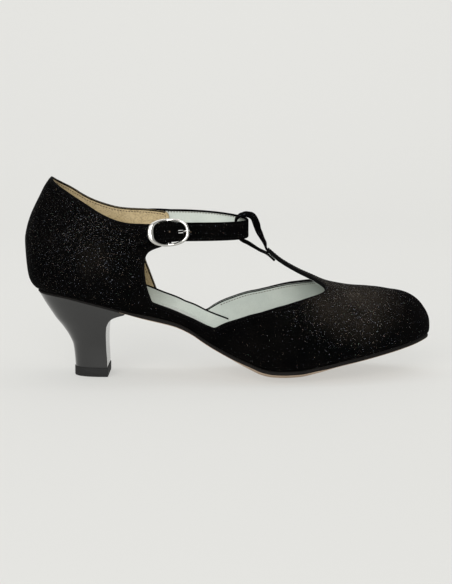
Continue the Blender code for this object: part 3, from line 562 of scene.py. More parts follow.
# The sole's and the sock's rounded edges, and where the painted seat ends
SOLE_ROUND = 0.45 * MM
SOCK_ROUND = 0.6 * MM
SEAT_END = 18 * MM

# Soft troughs and ridges of the upper: side, station, share, reach along and up, turn in degrees, height
RELIEF = (
    (OUTER, 3.9, 0.36, 1.10, 0.045, 12, -0.35 * MM),
    (OUTER, 4.3, 0.27, 0.90, 0.050, 8, 0.30 * MM),
    (OUTER, 2.2, 0.16, 1.60, 0.050, 0, 0.20 * MM),
    (OUTER, 12.9, 0.80, 0.50, 0.050, 35, 0.25 * MM),
    (OUTER, 13.8, 0.72, 0.90, 0.045, 20, -0.25 * MM),
    (OUTER, 12.4, 0.42, 1.30, 0.040, 15, -0.20 * MM),
    (INNER, 4.1, 0.34, 1.10, 0.045, 12, -0.30 * MM),
    (INNER, 13.3, 0.74, 0.90, 0.045, 20, -0.25 * MM),
    (INNER, 12.2, 0.40, 1.30, 0.040, 15, -0.20 * MM),
)


def seam_at(share):
    """The station where the vamp's back edge crosses a height of the wall."""
    return SEAM_STATION + SEAM_FOOT + (SEAM_TOP - SEAM_FOOT) * min(share / SEAM_HEIGHT, 1.0)


def relief(side, station, share):
    """How far the creases push the upper out."""
    total = 0.0
    for crease_side, at, up, along, height, turn, size in RELIEF:
        if crease_side != side or abs(station - at) > 3 * along:
            continue
        a, b = (station - at) / along, (share - up) / height
        c, s = math.cos(math.radians(turn)), math.sin(math.radians(turn))
        a, b = a * c + b * s, b * c - a * s
        total += size * math.exp(-a * a - b * b)
    return total


def face_out(side, station, share):
    """The upper's normal, upright in the middle plane on the ridge."""
    if share >= 1.0:
        return ridge_normal(min(station, POLE_STATION))
    return wall_normal(side, station, share)


def lap_at(station, share):
    """How far the vamp stands over the quarter."""
    return VAMP_LAP if station >= seam_at(share) - 1e-6 else 0.0


def skin(side, station, share, depth):
    """A point of the upper at a depth under its face; near the sole the depth is taken level."""
    out = face_out(side, station, share)
    level = Vector((out.x, out.y, 0)).normalized()
    way = level.lerp(out, min(share / SEAM_HEIGHT, 1.0))
    return wall(side, station, share) + way * (relief(side, station, share) - depth)


def sheet(name, low, high, keep, materials, sides=(OUTER, INNER)):
    """A layer of the upper between two depths where keep(station, share) holds, cut along the toplines."""
    bm = bmesh.new()
    within = bm.verts.layers.float_vector.new("within")
    for side in sides:
        polygon = topline(side)
        made = {}

        def gone(corner, polygon=polygon):
            return inside(polygon, corner.x, corner.y) or not keep(corner.x, corner.y)

        def vertex(corner, side=side, made=made):
            key = (round(corner.x, 4), round(corner.y, 4))
            if key not in made:
                made[key] = bm.verts.new(skin(side, corner.x, corner.y, low))
                made[key][within] = skin(side, corner.x, corner.y, high)
            return made[key]

        for i in range(LAST_STATION * COLUMNS):
            for j in range(ROWS):
                cell = [
                    Vector(((i + a) / COLUMNS, (j + b) / ROWS)) for a, b in ((0, 0), (1, 0), (1, 1), (0, 1))
                ]
                cut = [gone(corner) for corner in cell]
                if all(cut):
                    continue
                face = []
                for k in range(4):
                    after = (k + 1) % 4
                    if not cut[k]:
                        face.append(vertex(cell[k]))
                    if cut[k] != cut[after]:
                        kept, lost = (cell[after], cell[k]) if cut[k] else (cell[k], cell[after])
                        face.append(vertex(crossing(gone, kept, lost)))
                face = [v for k, v in enumerate(face) if v is not face[k - 1]]
                if len(face) > 2:
                    made_face = bm.faces.new(face if side == OUTER else face[::-1])
                    if len(materials) > 1 and is_tan(cell[0].x + 0.5 / COLUMNS, cell[0].y + 0.5 / ROWS):
                        made_face.material_index = 1
    bmesh.ops.remove_doubles(bm, verts=bm.verts, dist=WELD)
    outer_faces = list(bm.faces)
    twin = {v: bm.verts.new(v[within]) for v in list(bm.verts)}
    for face in outer_faces:
        back = bm.faces.new([twin[v] for v in reversed(face.verts)])
        back.material_index = face.material_index
    for edge in [e for e in bm.edges if e.is_boundary and e.verts[0] in twin and e.verts[1] in twin]:
        loop = edge.link_loops[0]
        a, b = loop.vert, loop.link_loop_next.vert
        rim = bm.faces.new((b, a, twin[a], twin[b]))
        rim.material_index = loop.face.material_index
    return add(name, bm, materials, 60)


def is_tan(station, share):
    """Where the lining is the quarter's tan suede, the rest being pale leather."""
    if share > EAR_SHARE:
        return station < EAR_SEAM
    return station < LINING_SEAM


def strip_share(station):
    """The height of the inner waist strip's folded line."""
    rows = STRIP_LINE
    for (a, low), (b, high) in zip(rows, rows[1:]):
        if station <= b:
            return low + (high - low) * max(0.0, (station - a) / (b - a))
    return rows[-1][1]


def crossing(gone, kept, cut):
    """Where the line between a kept and a cut corner meets an edge, by halving."""
    for _ in range(14):
        middle = (kept + cut) / 2
        if gone(middle):
            cut = middle
        else:
            kept = middle
    return kept


def add(name, bm, materials, smooth_to=40):
    """A piece from a mesh, smooth up to an angle, that rides with the shoe."""
    bmesh.ops.recalc_face_normals(bm, faces=bm.faces)
    mesh = bpy.data.meshes.new(name)
    bm.to_mesh(mesh)
    bm.free()
    for material in materials:
        mesh.materials.append(material)
    mesh.shade_smooth()
    mesh.set_sharp_from_angle(angle=math.radians(smooth_to))
    piece = placed(name, mesh)
    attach(piece, "root")
    return piece


def topline_path():
    """The upper's whole edge as one closed line of (side, station, share), round the T-bar."""
    outer, inner = (
        [(side, p.x, p.y) for p in topline(side) if p.x >= 0 and p.y < BAR_EDGE] for side in (OUTER, INNER)
    )
    end = outer[-1][1]
    across = [(end, BAR_EDGE + (1 - BAR_EDGE) * k / 6) for k in range(1, 6)]
    rise = [(OUTER, x, y) for x, y in across]
    fall = [(INNER, x, y) for x, y in across[::-1]]
    return outer + rise + [(OUTER, end, 1.0)] + fall + inner[::-1]


def even_line(points, step, closed=True):
    """Points at even distances along a line of (place, extras...)."""
    ring = points + [points[0]] if closed else points
    lengths = [0.0]
    for a, b in zip(ring, ring[1:]):
        lengths.append(lengths[-1] + (b[0] - a[0]).length)
    count = max(int(lengths[-1] / step), 2)
    made = []
    k = 0
    for n in range(count if closed else count + 1):
        want = lengths[-1] * n / count
        while k < len(ring) - 2 and lengths[k + 1] < want:
            k += 1
        t = (want - lengths[k]) / max(lengths[k + 1] - lengths[k], 1e-9)
        made.append(tuple(a.lerp(b, t) if isinstance(a, Vector) else a + (b - a) * t
                          for a, b in zip(ring[k], ring[k + 1])))
    return made


def topline_frames():
    """Even frames along the edge: place on the last, normal out, way down into the wall, lap height."""
    raw = []
    for side, station, share in topline_path():
        out = face_out(side, station, share)
        lap = lap_at(station, share)
        place = wall(side, station, share) + out * relief(side, station, share)
        raw.append((place, out, lap, share, station, side))
    line = even_line(raw, PATH_STEP)
    count = len(line)
    for _ in range(2):
        line = [
            tuple((line[k - 1][c] + line[k][c] * 2 + line[(k + 1) % count][c]) * 0.25 for c in range(6))
            for k in range(count)
        ]
    frames = []
    for k in range(count):
        place, out, lap, share, station, side = line[k]
        tangent = (line[(k + 1) % count][0] - line[k - 1][0]).normalized()
        out = (out - tangent * out.dot(tangent)).normalized()
        front = EAR_FRONT[0] < station < EAR_FRONT[1] and share > EAR_SHARE
        ear = side > 0 and front and abs(tangent.z) > 0.5
        frames.append((place, out, tangent.cross(out).normalized(), lap, share, ear))
    return frames


def fold_mesh(frames):
    """The topline's folded edge: a rounded bead that closes the wall's layers."""
    bm = bmesh.new()
    rings = []
    for place, out, down, lap, share, ear in frames:
        half = (LINING_DEPTH + lap) / 2 + FOLD_PROUD
        centre = place - out * ((LINING_DEPTH - lap) / 2) + down * FOLD_IN
        rings.append(ring_about(centre, out, half, down, FOLD_HALF, FOLD_SIDES, FOLD_SQUARE))
    loft(bm, rings + [rings[0]], close_ends=False)
    for index, face in enumerate(bm.faces):
        face.material_index = 1 if frames[min(index // FOLD_SIDES, len(frames) - 1)][5] else 0
    bmesh.ops.remove_doubles(bm, verts=bm.verts, dist=0.005 * MM)
    return bm


def stitch_mesh(lines, radius=STITCH_RADIUS):
    """Short capsules along lines of (place, normal): thread that shows between two needle holes."""
    bm = bmesh.new()
    for line in lines:
        steps = even_line(line, STITCH_PITCH / 2, closed=False)
        for k in range(0, len(steps) - 1, 2):
            (a, out), b = steps[k], steps[k + 1][0]
            out = out.normalized()
            along = (b - a).normalized()
            across = along.cross(out).normalized()
            rings = []
            for at, size in ((-1.0, 0.35), (-0.7, 0.9), (0.0, 1.0), (0.7, 0.9), (1.0, 0.35)):
                rise = radius * (STITCH_RISE - STITCH_DIP * at * at)
                centre = (a + b) / 2 + along * (at * STITCH_LENGTH / 2) + out * rise
                half = radius * size
                rings.append(ring_about(centre, across, STITCH_FLAT * half, out, half, STITCH_SIDES))
            loft(bm, rings)
    return bm


def stretches(frames, keep):
    """The stretches of a closed line where keep(frame) holds."""
    start = next((k for k in range(len(frames)) if not keep(frames[k])), 0)
    runs = [[]]
    for row in frames[start:] + frames[:start]:
        if keep(row):
            runs[-1].append(row)
        elif runs[-1]:
            runs.append([])
    return [run for run in runs if len(run) > 4]


def band(frames, width, thickness):
    """A band along frames of (centre, outward, across, width share, arch): rounded edges, lined inside."""
    bm = bmesh.new()
    rings = []
    half_t = thickness / 2
    turns = [math.pi * k / 6 for k in range(1, 6)]
    for centre, out, across, share, arch in frames:
        half = max(width / 2 * share, half_t * BAND_LEAST)
        flat = half - half_t
        inner, sunk = max(flat - BAND_LINING_IN, 0.0), -half_t * BAND_LINING_SUNK
        ring = [(flat * (1 - k / 3), half_t) for k in range(7)]
        ring += [(-flat - half_t * math.sin(turn), half_t * math.cos(turn)) for turn in turns]
        ring += [(-flat, -half_t), (-inner, -half_t)]
        lining = len(ring)
        ring += [(inner * k / 3, sunk) for k in range(-3, 4)]
        ring += [(inner, -half_t), (flat, -half_t)]
        ring += [(flat + half_t * math.sin(turn), -half_t * math.cos(turn)) for turn in turns]
        bow = arch * thickness
        rings.append([
            centre + across * y + out * (n + bow * (1 - (y / half) ** 2)) for y, n in ring
        ])
    loft(bm, rings)
    count = len(rings[0])
    for index, face in enumerate(bm.faces):
        if lining <= index % count < lining + 6 and index < count * (len(rings) - 1):
            face.material_index = 1
    return bm


def strap_frames(turns=84, outer_steps=44, inner_steps=12):
    """The ankle strap from its free end round the ankle to the inner quarter."""
    outer = strap_side(OUTER, STRAP_OUTER_LINE, outer_steps)
    inner = strap_side(INNER, STRAP_INNER_LINE, inner_steps)
    (start, start_out), (end, end_out) = outer[-1], inner[-1]
    middle = (start + end) / 2
    half = (end.y - start.y) / 2
    apex = bar_end() + Vector((-APEX_BACK, -APEX_SIDE, APEX_RISE)) - middle
    points = list(outer)
    for k in range(1, turns):
        turn = (k / turns) ** TURN_SPACING
        angle = math.pi * turn
        c, s = -math.cos(angle), math.sin(angle)
        flat_z = start.z + (end.z - start.z) * ease(turn)
        place = Vector((
            start.x + (end.x - start.x) * turn + apex.x * s,
            middle.y + half * c + apex.y * s * s,
            flat_z + apex.z * s * s,
        ))
        out = Vector((s / apex.x, c / half, 0)).normalized()
        out.z = start_out.z * (1 - ease(4 * turn)) + end_out.z * (1 - ease(4 - 4 * turn))
        points.append((place, out))
    points += inner[::-1]
    origin, along, _, _ = buckle_frame()
    humped = []
    for point, normal in points:
        away = (point - origin).dot(along)
        away = away / (HUMP_RUN if away > 0 else HUMP_REACH)
        near = point.y < 0 and abs(away) < 1
        hump = STRAP_HUMP * math.cos(math.pi / 2 * away) ** 2 if near else 0.0
        humped.append((point + normal * hump, normal))
    run = 0.0
    frames = []
    line = [point for point, _ in humped]
    for k, (point, normal) in enumerate(humped):
        tangent = tangent_at(line, k)
        run += (point - line[max(k - 1, 0)]).length
        way_out = (normal - tangent * normal.dot(tangent)).normalized()
        nose = min(run + STRAP_NOSE, STRAP_WIDTH / 2)
        share = math.sqrt(max(0.0, 1 - (1 - nose / (STRAP_WIDTH / 2)) ** 2))
        if point.y < 0:
            away = ((point - origin).dot(along) - SWELL_AT) / SWELL_REACH
            share *= 1 + STRAP_SWELL * max(0.0, 1 - away * away)
        frames.append((point, way_out, tangent.cross(way_out).normalized(), share, 0.0))
    return frames


def loop_frames(steps=9):
    """The T-bar's end from the bar over the ankle strap and back under the bar."""
    end = bar_end()
    points = []
    for back, up, arch in LOOP_PATH:
        drift = LOOP_DRIFT * min(back / -1.5, 1.0)
        points.append((end + Vector((back * STRAP_WIDTH, drift, up * STRAP_WIDTH)), arch))
    for station in LOOP_TAIL_STATIONS:
        under = UPPER_WALL + GAP + LOOP_THICKNESS / 2
        points.append((wall(OUTER, station, 1.0) - ridge_normal(station) * under, 0.0))
    arches = [
        a + (b - a) * ease(k / steps) for (_, a), (_, b) in zip(points, points[1:]) for k in range(steps)
    ] + [0.0]
    line = curve_through([place for place, _ in points], steps, [False] * len(points))
    frames = []
    for k, (point, arch) in enumerate(zip(line, arches)):
        tangent = tangent_at(line, k)
        out = Vector((0, 1, 0)).cross(tangent).normalized()
        frames.append((point, out, out.cross(tangent).normalized(), 1.0, arch * LOOP_ARCH / LOOP_THICKNESS))
    return frames


def plate_mesh(inset, low, high, round_edge, shares=8, painted_from=0):
    """A layer of the sole with a rounded edge. Materials: 0 edge, 1 underside, 2 top."""
    bm = bmesh.new()
    columns = [i / COLUMNS for i in range(LAST_STATION * COLUMNS + 1)]
    for side in (OUTER, INNER):
        grid = []
        for station in columns:
            bottom = [
                plate_point(side, station, 1 - k / shares, inset + round_edge, 0.0) for k in range(shares + 1)
            ]
            thick = high(bottom[-1].x) - low(bottom[-1].x)
            ring = [p + Vector((0, 0, low(p.x))) for p in bottom]
            for k in range(1, 8):
                turn = math.pi * k / 8
                edge = plate_point(side, station, 0.0, inset + round_edge * (1 - math.sin(turn)), 0.0)
                ring.append(edge + Vector((0, 0, low(edge.x) + thick * (1 - math.cos(turn)) / 2)))
            ring += [p + Vector((0, 0, high(p.x))) for p in bottom[::-1]]
            grid.append([bm.verts.new(p) for p in ring])
        for a, b in zip(grid, grid[1:]):
            for k in range(len(a) - 1):
                face = bm.faces.new((a[k], b[k], b[k + 1], a[k + 1]))
                face.material_index = 1 if k < shares + painted_from else 2 if k >= len(a) - 1 - shares else 0
    bmesh.ops.remove_doubles(bm, verts=bm.verts, dist=0.02 * MM)
    return bm


def heel_mesh():
    """The spool heel between its lift and the sole's seat, as fine rings."""
    seat_back = STATIONS[0][0] * SHOE_LENGTH - ORIGIN_X
    seat_half = STATIONS[5][1] * BALL_WIDTH
    ends = ((-HEEL_TIP_LENGTH / 2, seat_back), (HEEL_TIP_LENGTH / 2, seat_back + HEEL_SEAT_LENGTH),
            (HEEL_TIP_WIDTH / 2, seat_half))
    rings = []
    for n in range(HEEL_LEVELS + 1):
        level = n / HEEL_LEVELS
        sizes = [tip + (seat - tip) * smooth(HEEL_ROWS, level, c + 1) for c, (tip, seat) in enumerate(ends)]
        rings.append([
            Vector((x, y, LIFT_HEIGHT + (sole_bottom(x) - GAP / 3 - LIFT_HEIGHT) * level))
            for x, y in d_outline(*sizes)
        ])
    return laddered(rings)


def laddered(rings):
    """Skin a heel's rings, with both ends laddered across so that they can follow the sole."""
    bm = bmesh.new()
    made = loft(bm, rings, close_ends=False)
    for ring in (made[0], made[-1]):
        last = len(ring) - 1
        for k in range(last // 2):
            corners = [ring[k], ring[k + 1], ring[last - k - 1], ring[last - k]]
            bm.faces.new(list(dict.fromkeys(corners)))
    return bm


def lift_mesh():
    """The top lift, its lower edge rounded by wear."""
    rings = []
    profile = [(0.0, LIFT_BEVEL * 1.1), (LIFT_BEVEL * 0.3, LIFT_BEVEL * 0.35), (LIFT_BEVEL, 0.0)]
    profile += [(LIFT_HEIGHT - GAP, 0.0), (LIFT_HEIGHT - GAP / 4, LIFT_OVERHANG * 0.7)]
    for z, inset in profile:
        length, half = (size / 2 + LIFT_OVERHANG - inset for size in (HEEL_TIP_LENGTH, HEEL_TIP_WIDTH))
        rings.append([Vector((x, y, z)) for x, y in d_outline(-length, length, half)])
    return laddered(rings)


def buckle_mesh():
    """The buckle's bowed oval frame with its bar."""
    origin, along, across, out = buckle_frame()
    bm = bmesh.new()
    count, wire = 96, BUCKLE_WIRE / 2
    half_length, half_width = BUCKLE_LENGTH / 2 - wire - BUCKLE_END_WIDEN, BUCKLE_WIDTH / 2 - wire
    rings = []
    for k in range(count):
        u, v = squared(2 * math.pi * k / count, BUCKLE_ROUND)
        rim = BUCKLE_BAR_LEVEL + (BUCKLE_RIM - BUCKLE_BAR_LEVEL) * (1 - math.cos(math.pi / 2 * u) ** 2)
        centre = origin + along * (u * half_length) + across * (v * half_width) + out * rim
        flat = Vector([
            abs(part) ** (BUCKLE_ROUND - 1) * math.copysign(1, part) / half
            for part, half in ((u, half_length), (v, half_width))
        ]).normalized()
        sideways = along * flat.x + across * flat.y
        extra = BUCKLE_END_WIDEN * abs(flat.x) ** 2
        shift = extra * BUCKLE_SHIFT[u > 0]
        rings.append(ring_about(
            centre + sideways * shift, sideways, wire + extra - shift, out, wire, 16, start=0.5
        ))
    loft(bm, rings + [rings[0]], close_ends=False)
    bmesh.ops.remove_doubles(bm, verts=bm.verts, dist=0.005 * MM)
    ends = [origin + out * BUCKLE_BAR_LEVEL + across * v * (BUCKLE_WIDTH / 2 - wire) for v in (-1, 1)]
    rod(bm, ends, BUCKLE_BAR / 2, 12, along)
    return bm


def rod(bm, points, radius, count, side, taper=None):
    """A round wire along points, its rings set out from one steady side direction."""
    rings = []
    for k, point in enumerate(points):
        tangent = tangent_at(points, k)
        steady = (side - tangent * side.dot(tangent)).normalized()
        r = radius * (taper[k] if taper else 1.0)
        rings.append(ring_about(point, steady, r, tangent.cross(steady), r, count))
    loft(bm, rings)
    return bm


def bar_arc(radius, start, turn, steps):
    """An arc round the buckle's bar, along the strap and outwards, its angles in degrees."""
    angles = (math.radians(start + turn * k / steps) for k in range(steps + 1))
    return [(radius * math.cos(angle), BUCKLE_BAR_LEVEL + radius * math.sin(angle)) for angle in angles]


def prong_mesh():
    """The prong: a ring round the bar, then a tongue through the strap and over the buckle's front rim."""
    origin, along, across, out = buckle_frame()
    radius = BUCKLE_BAR / 2 + GAP + PRONG_THICKNESS / 2
    flat = bar_arc(radius, -25, -245, 36)
    rows = [flat[-1]] + [(a * BUCKLE_LENGTH, b * BUCKLE_LENGTH) for a, b in PRONG_PATH]
    for i in range(len(rows) - 1):
        before = rows[i - 1] if i else flat[-2]
        after = rows[i + 2] if i + 2 < len(rows) else rows[i + 1]
        for k in range(1, 7):
            ends = zip(before, rows[i], rows[i + 1], after)
            flat.append(tuple(through(*values, k / 6) for values in ends))
    points = [origin + along * a + out * b for a, b in flat]
    taper = [1.0] * (len(points) - len(PRONG_TAPER)) + list(PRONG_TAPER)
    return rod(bmesh.new(), points, PRONG_THICKNESS / 2, 12, across, taper)


def tab_mesh():
    """The quarter's end folded round the buckle's bar, as wide as the oval lets it be."""
    origin, along, across, out = buckle_frame()
    skin_radius = BUCKLE_BAR / 2 + GAP + TAB_THICKNESS
    profile = bar_arc(skin_radius, -105, 210, 24)
    profile += [(-TAB_KNEE, 0.0), (-TAB_TAIL, 0.0), (-TAB_TAIL, -UPPER_WALL), (-TAB_KNEE, -UPPER_WALL)]
    bm = bmesh.new()
    ends = (-TAB_SHOWN / 2, TAB_SHOWN / 2)
    loft(bm, [[origin + along * a + out * b + across * v for a, b in profile] for v in ends])
    return bm


def box(centre, axes, sizes):
    """A box about a centre, along three axes."""
    bm = bmesh.new()
    bmesh.ops.create_cube(bm, size=1.0)
    for v in bm.verts:
        v.co = centre + sum((axes[k] * (v.co[k] * sizes[k]) for k in range(3)), Vector())
    return bm


# Materials
# Painted sheen: a brown-grey tint laid into the suede's colour round the vamp's top and, weaker, on the heel
# quarter, standing in for soft light on the nap.
PAINTED_SHEEN_TINT = (0.036, 0.030, 0.023)
VAMP_SHEEN_SPOT = ((0.152, -0.012, 0.050), 0.036)
HEEL_SHEEN_SPOT = ((0.004, -0.032, 0.072), 0.013)
HEEL_SHEEN_SHARE = 0.3
# Painted highlight: glitter is laid denser round the heel quarter's upper part and the vamp's top, where the
# light falls. GLITTER_SHARE gives the glitter's share everywhere, then the extra share painted on there.
QUARTER_GLINT_SPOT = ((-0.002, -0.030, 0.086), 0.050)
VAMP_GLINT_SPOT = ((0.146, -0.006, 0.056), 0.052)
GLITTER_CELL = 0.34 * MM
GLITTER_SIZE = 0.29
GLITTER_SHARE = (0.06, 0.55)
GLITTER_TILT = 1.5
GLITTER_HUES = (
    (0.0, (0.80, 0.82, 0.90)),
    (0.30, (0.62, 0.68, 0.88)),
    (0.55, (0.90, 0.74, 0.52)),
    (0.78, (0.85, 0.55, 0.50)),
    (0.92, (0.52, 0.80, 0.62)),
)
GLITTER_SHINE = ((0.0, 0.02), (0.5, 0.07), (0.88, 0.3), (1.0, 1.0))

# Materials with a fine grain. base, roughness and inputs go to the shader. grain, tint and wave are noises
# (cells a metre, detail, roughness), the first two with their colour stops; relief is a depth and a strength.
LOOKS = {
    # The thin black leather of the folded edges
    "fold_leather": dict(
        base=(0.003, 0.003, 0.003), roughness=0.9, inputs={"Specular IOR Level": 0.04},
        grain=(1800, 3.0), stops=((0.3, 0.0015), (0.7, 0.004)), relief=(0.08 * MM, 0.5),
    ),
    # Sage-grey lining leather
    "pale_lining": dict(
        base=(0.42, 0.47, 0.41), roughness=0.55, inputs={"Specular IOR Level": 0.35},
        grain=(1600, 4.0), stops=((0.3, 0.88), (0.7, 1.0)), relief=(0.08 * MM, 0.5),
        tint=((60, 3.0), ((0.3, (0.475, 0.52, 0.48)), (0.7, (0.56, 0.60, 0.55)))),
    ),
    # Tan suede lining with a coarse, speckled nap
    "tan_lining": dict(
        base=(0.42, 0.31, 0.17), roughness=0.9, inputs={"Specular IOR Level": 0.15, "Sheen Weight": 0.2},
        grain=(1100, 4.0, 0.7), stops=((0.32, 0.55), (0.52, 1.0), (0.75, 1.15)), relief=(0.2 * MM, 0.7),
        tint=((90, 2.0), ((0.3, (0.41, 0.32, 0.175)), (0.7, (0.50, 0.40, 0.24)))),
    ),
    # The sock over the insole
    "sock_leather": dict(
        base=(0.46, 0.36, 0.23), roughness=0.6,
        grain=(1500, 3.0), stops=((0.3, (0.46, 0.48, 0.46)), (0.7, (0.55, 0.56, 0.53))),
        relief=(0.1 * MM, 0.5),
    ),
    # The underside's brushed tan suede, scuffed darker in places
    "sole_suede": dict(
        base=(0.40, 0.28, 0.18), roughness=0.92, inputs={"Specular IOR Level": 0.12},
        grain=(900, 4.0, 0.65), stops=((0.3, (0.38, 0.28, 0.20)), (0.7, (0.52, 0.41, 0.31))),
        relief=(0.15 * MM, 0.6), tint=((55, 4.0), ((0.45, 1.0), (0.7, 0.72))),
    ),
    # The sole's edge, painted a satin black
    "sole_edge": dict(
        base=(0.004, 0.004, 0.004), roughness=0.7, inputs={"Specular IOR Level": 0.1},
        grain=(900, 3.0), stops=((0.3, (0.003, 0.0028, 0.0025)), (0.7, (0.008, 0.007, 0.0065))),
        relief=(0.1 * MM, 0.4),
    ),
    # The heel's black gloss lacquer, with a faint ripple and fine dust scratches
    "heel_lacquer": dict(
        base=(0.010, 0.010, 0.010), roughness=0.16, inputs={"Coat Weight": 0.35, "Coat Roughness": 0.06},
        grain=(2400, 2.0), stops=((0.4, 0.13), (0.75, 0.22)), relief=(0.12 * MM, 0.35), wave=(110, 2.0),
    ),
    # The top lift's matt black rubber
    "lift_rubber": dict(
        base=(0.010, 0.010, 0.010), roughness=0.8, inputs={"Specular IOR Level": 0.25},
        grain=(1400, 3.0), stops=((0.3, 0.006), (0.7, 0.016)), relief=(0.12 * MM, 0.5),
    ),
    # Polished silver-coloured plating with a soft waviness
    "buckle_plating": dict(
        base=(0.62, 0.61, 0.58), roughness=0.14, inputs={"Metallic": 1.0},
        grain=(1500, 2.0), stops=((0.3, 0.10), (0.75, 0.24)), relief=(0.10 * MM, 0.35), wave=(420, 2.0),
    ),
}


def shader(name, base, roughness, inputs):
    """A material with its node tree, its Principled shader and the object's own coordinates in metres."""
    made = bpy.data.materials.new(name)
    made.use_nodes = True
    tree = made.node_tree
    surface = tree.nodes["Principled BSDF"]
    for socket, value in {"Base Color": (*base, 1), "Roughness": roughness, **inputs}.items():
        surface.inputs[socket].default_value = value
    return made, tree, surface, tree.nodes.new("ShaderNodeTexCoord").outputs["Object"]


def node_of(tree, kind, inputs, **settings):
    """A shader node with its settings; its inputs are values, or other nodes' sockets to link."""
    node = tree.nodes.new("ShaderNode" + kind)
    for name, value in settings.items():
        setattr(node, name, value)
    for key, value in inputs.items():
        if isinstance(value, bpy.types.NodeSocket):
            tree.links.new(value, node.inputs[key])
        else:
            node.inputs[key].default_value = value
    return node


def noise(tree, place, scale, detail=3.0, roughness=0.55):
    """A noise texture's value, its scale in cells a metre."""
    inputs = {"Vector": place, "Scale": scale, "Detail": detail, "Roughness": roughness}
    return node_of(tree, "TexNoise", inputs).outputs["Fac"]


def ramp(tree, value, stops):
    """A colour ramp with stops of (position, colour or grey)."""
    node = node_of(tree, "ValToRGB", {"Fac": value})
    elements = node.color_ramp.elements
    while len(elements) < len(stops):
        elements.new(0.5)
    for element, (at, colour) in zip(elements, stops):
        element.position = at
        element.color = (*colour, 1) if isinstance(colour, tuple) else (colour, colour, colour, 1)
    return node.outputs["Color"]


def blend(tree, a, b, share, mode="MIX"):
    """Two colours mixed, each a tuple or a socket."""
    a, b = ((*c, 1) if isinstance(c, tuple) else c for c in (a, b))
    return node_of(tree, "Mix", {0: share, 6: a, 7: b}, data_type="RGBA", blend_type=mode).outputs[2]


def sums(tree, operation, a, b):
    """A math node on two values, numbers or sockets."""
    return node_of(tree, "Math", {0: a, 1: b}, operation=operation).outputs[0]


def bump(tree, surface, height, distance, strength):
    """Fine relief on a shader."""
    node = node_of(tree, "Bump", {"Distance": distance, "Strength": strength, "Height": height})
    tree.links.new(node.outputs["Normal"], surface.inputs["Normal"])


def spot(tree, place, centre, reach):
    """One at a point of the shoe, falling to nothing at its reach."""
    away = node_of(tree, "VectorMath", {0: place, 1: centre}, operation="DISTANCE").outputs["Value"]
    return sums(tree, "MAXIMUM", sums(tree, "SUBTRACT", 1.0, sums(tree, "DIVIDE", away, reach)), 0.0)


def grained(name, base, roughness, grain, stops, relief, tint=None, wave=None, inputs=None):
    """A material with a grain in its colour and relief, or in its gloss if a wave makes the relief."""
    made, tree, surface, place = shader(name, base, roughness, inputs or {})
    height = noise(tree, place, *grain)
    value = ramp(tree, height, stops)
    if tint:
        value = blend(tree, ramp(tree, noise(tree, place, *tint[0]), tint[1]), value, 1.0, "MULTIPLY")
    tree.links.new(value, surface.inputs["Roughness" if wave else "Base Color"])
    bump(tree, surface, noise(tree, place, *wave) if wave else height, *relief)
    return made


def thread(name, colour):
    """Waxed sewing thread, twisted."""
    dark = tuple(c * 0.6 for c in colour)
    return grained(
        name, colour, 0.85, (5000, 1.0), ((0.35, dark), (0.65, colour)), (0.05 * MM, 0.5),
        inputs={"Specular IOR Level": 0.08},
    )


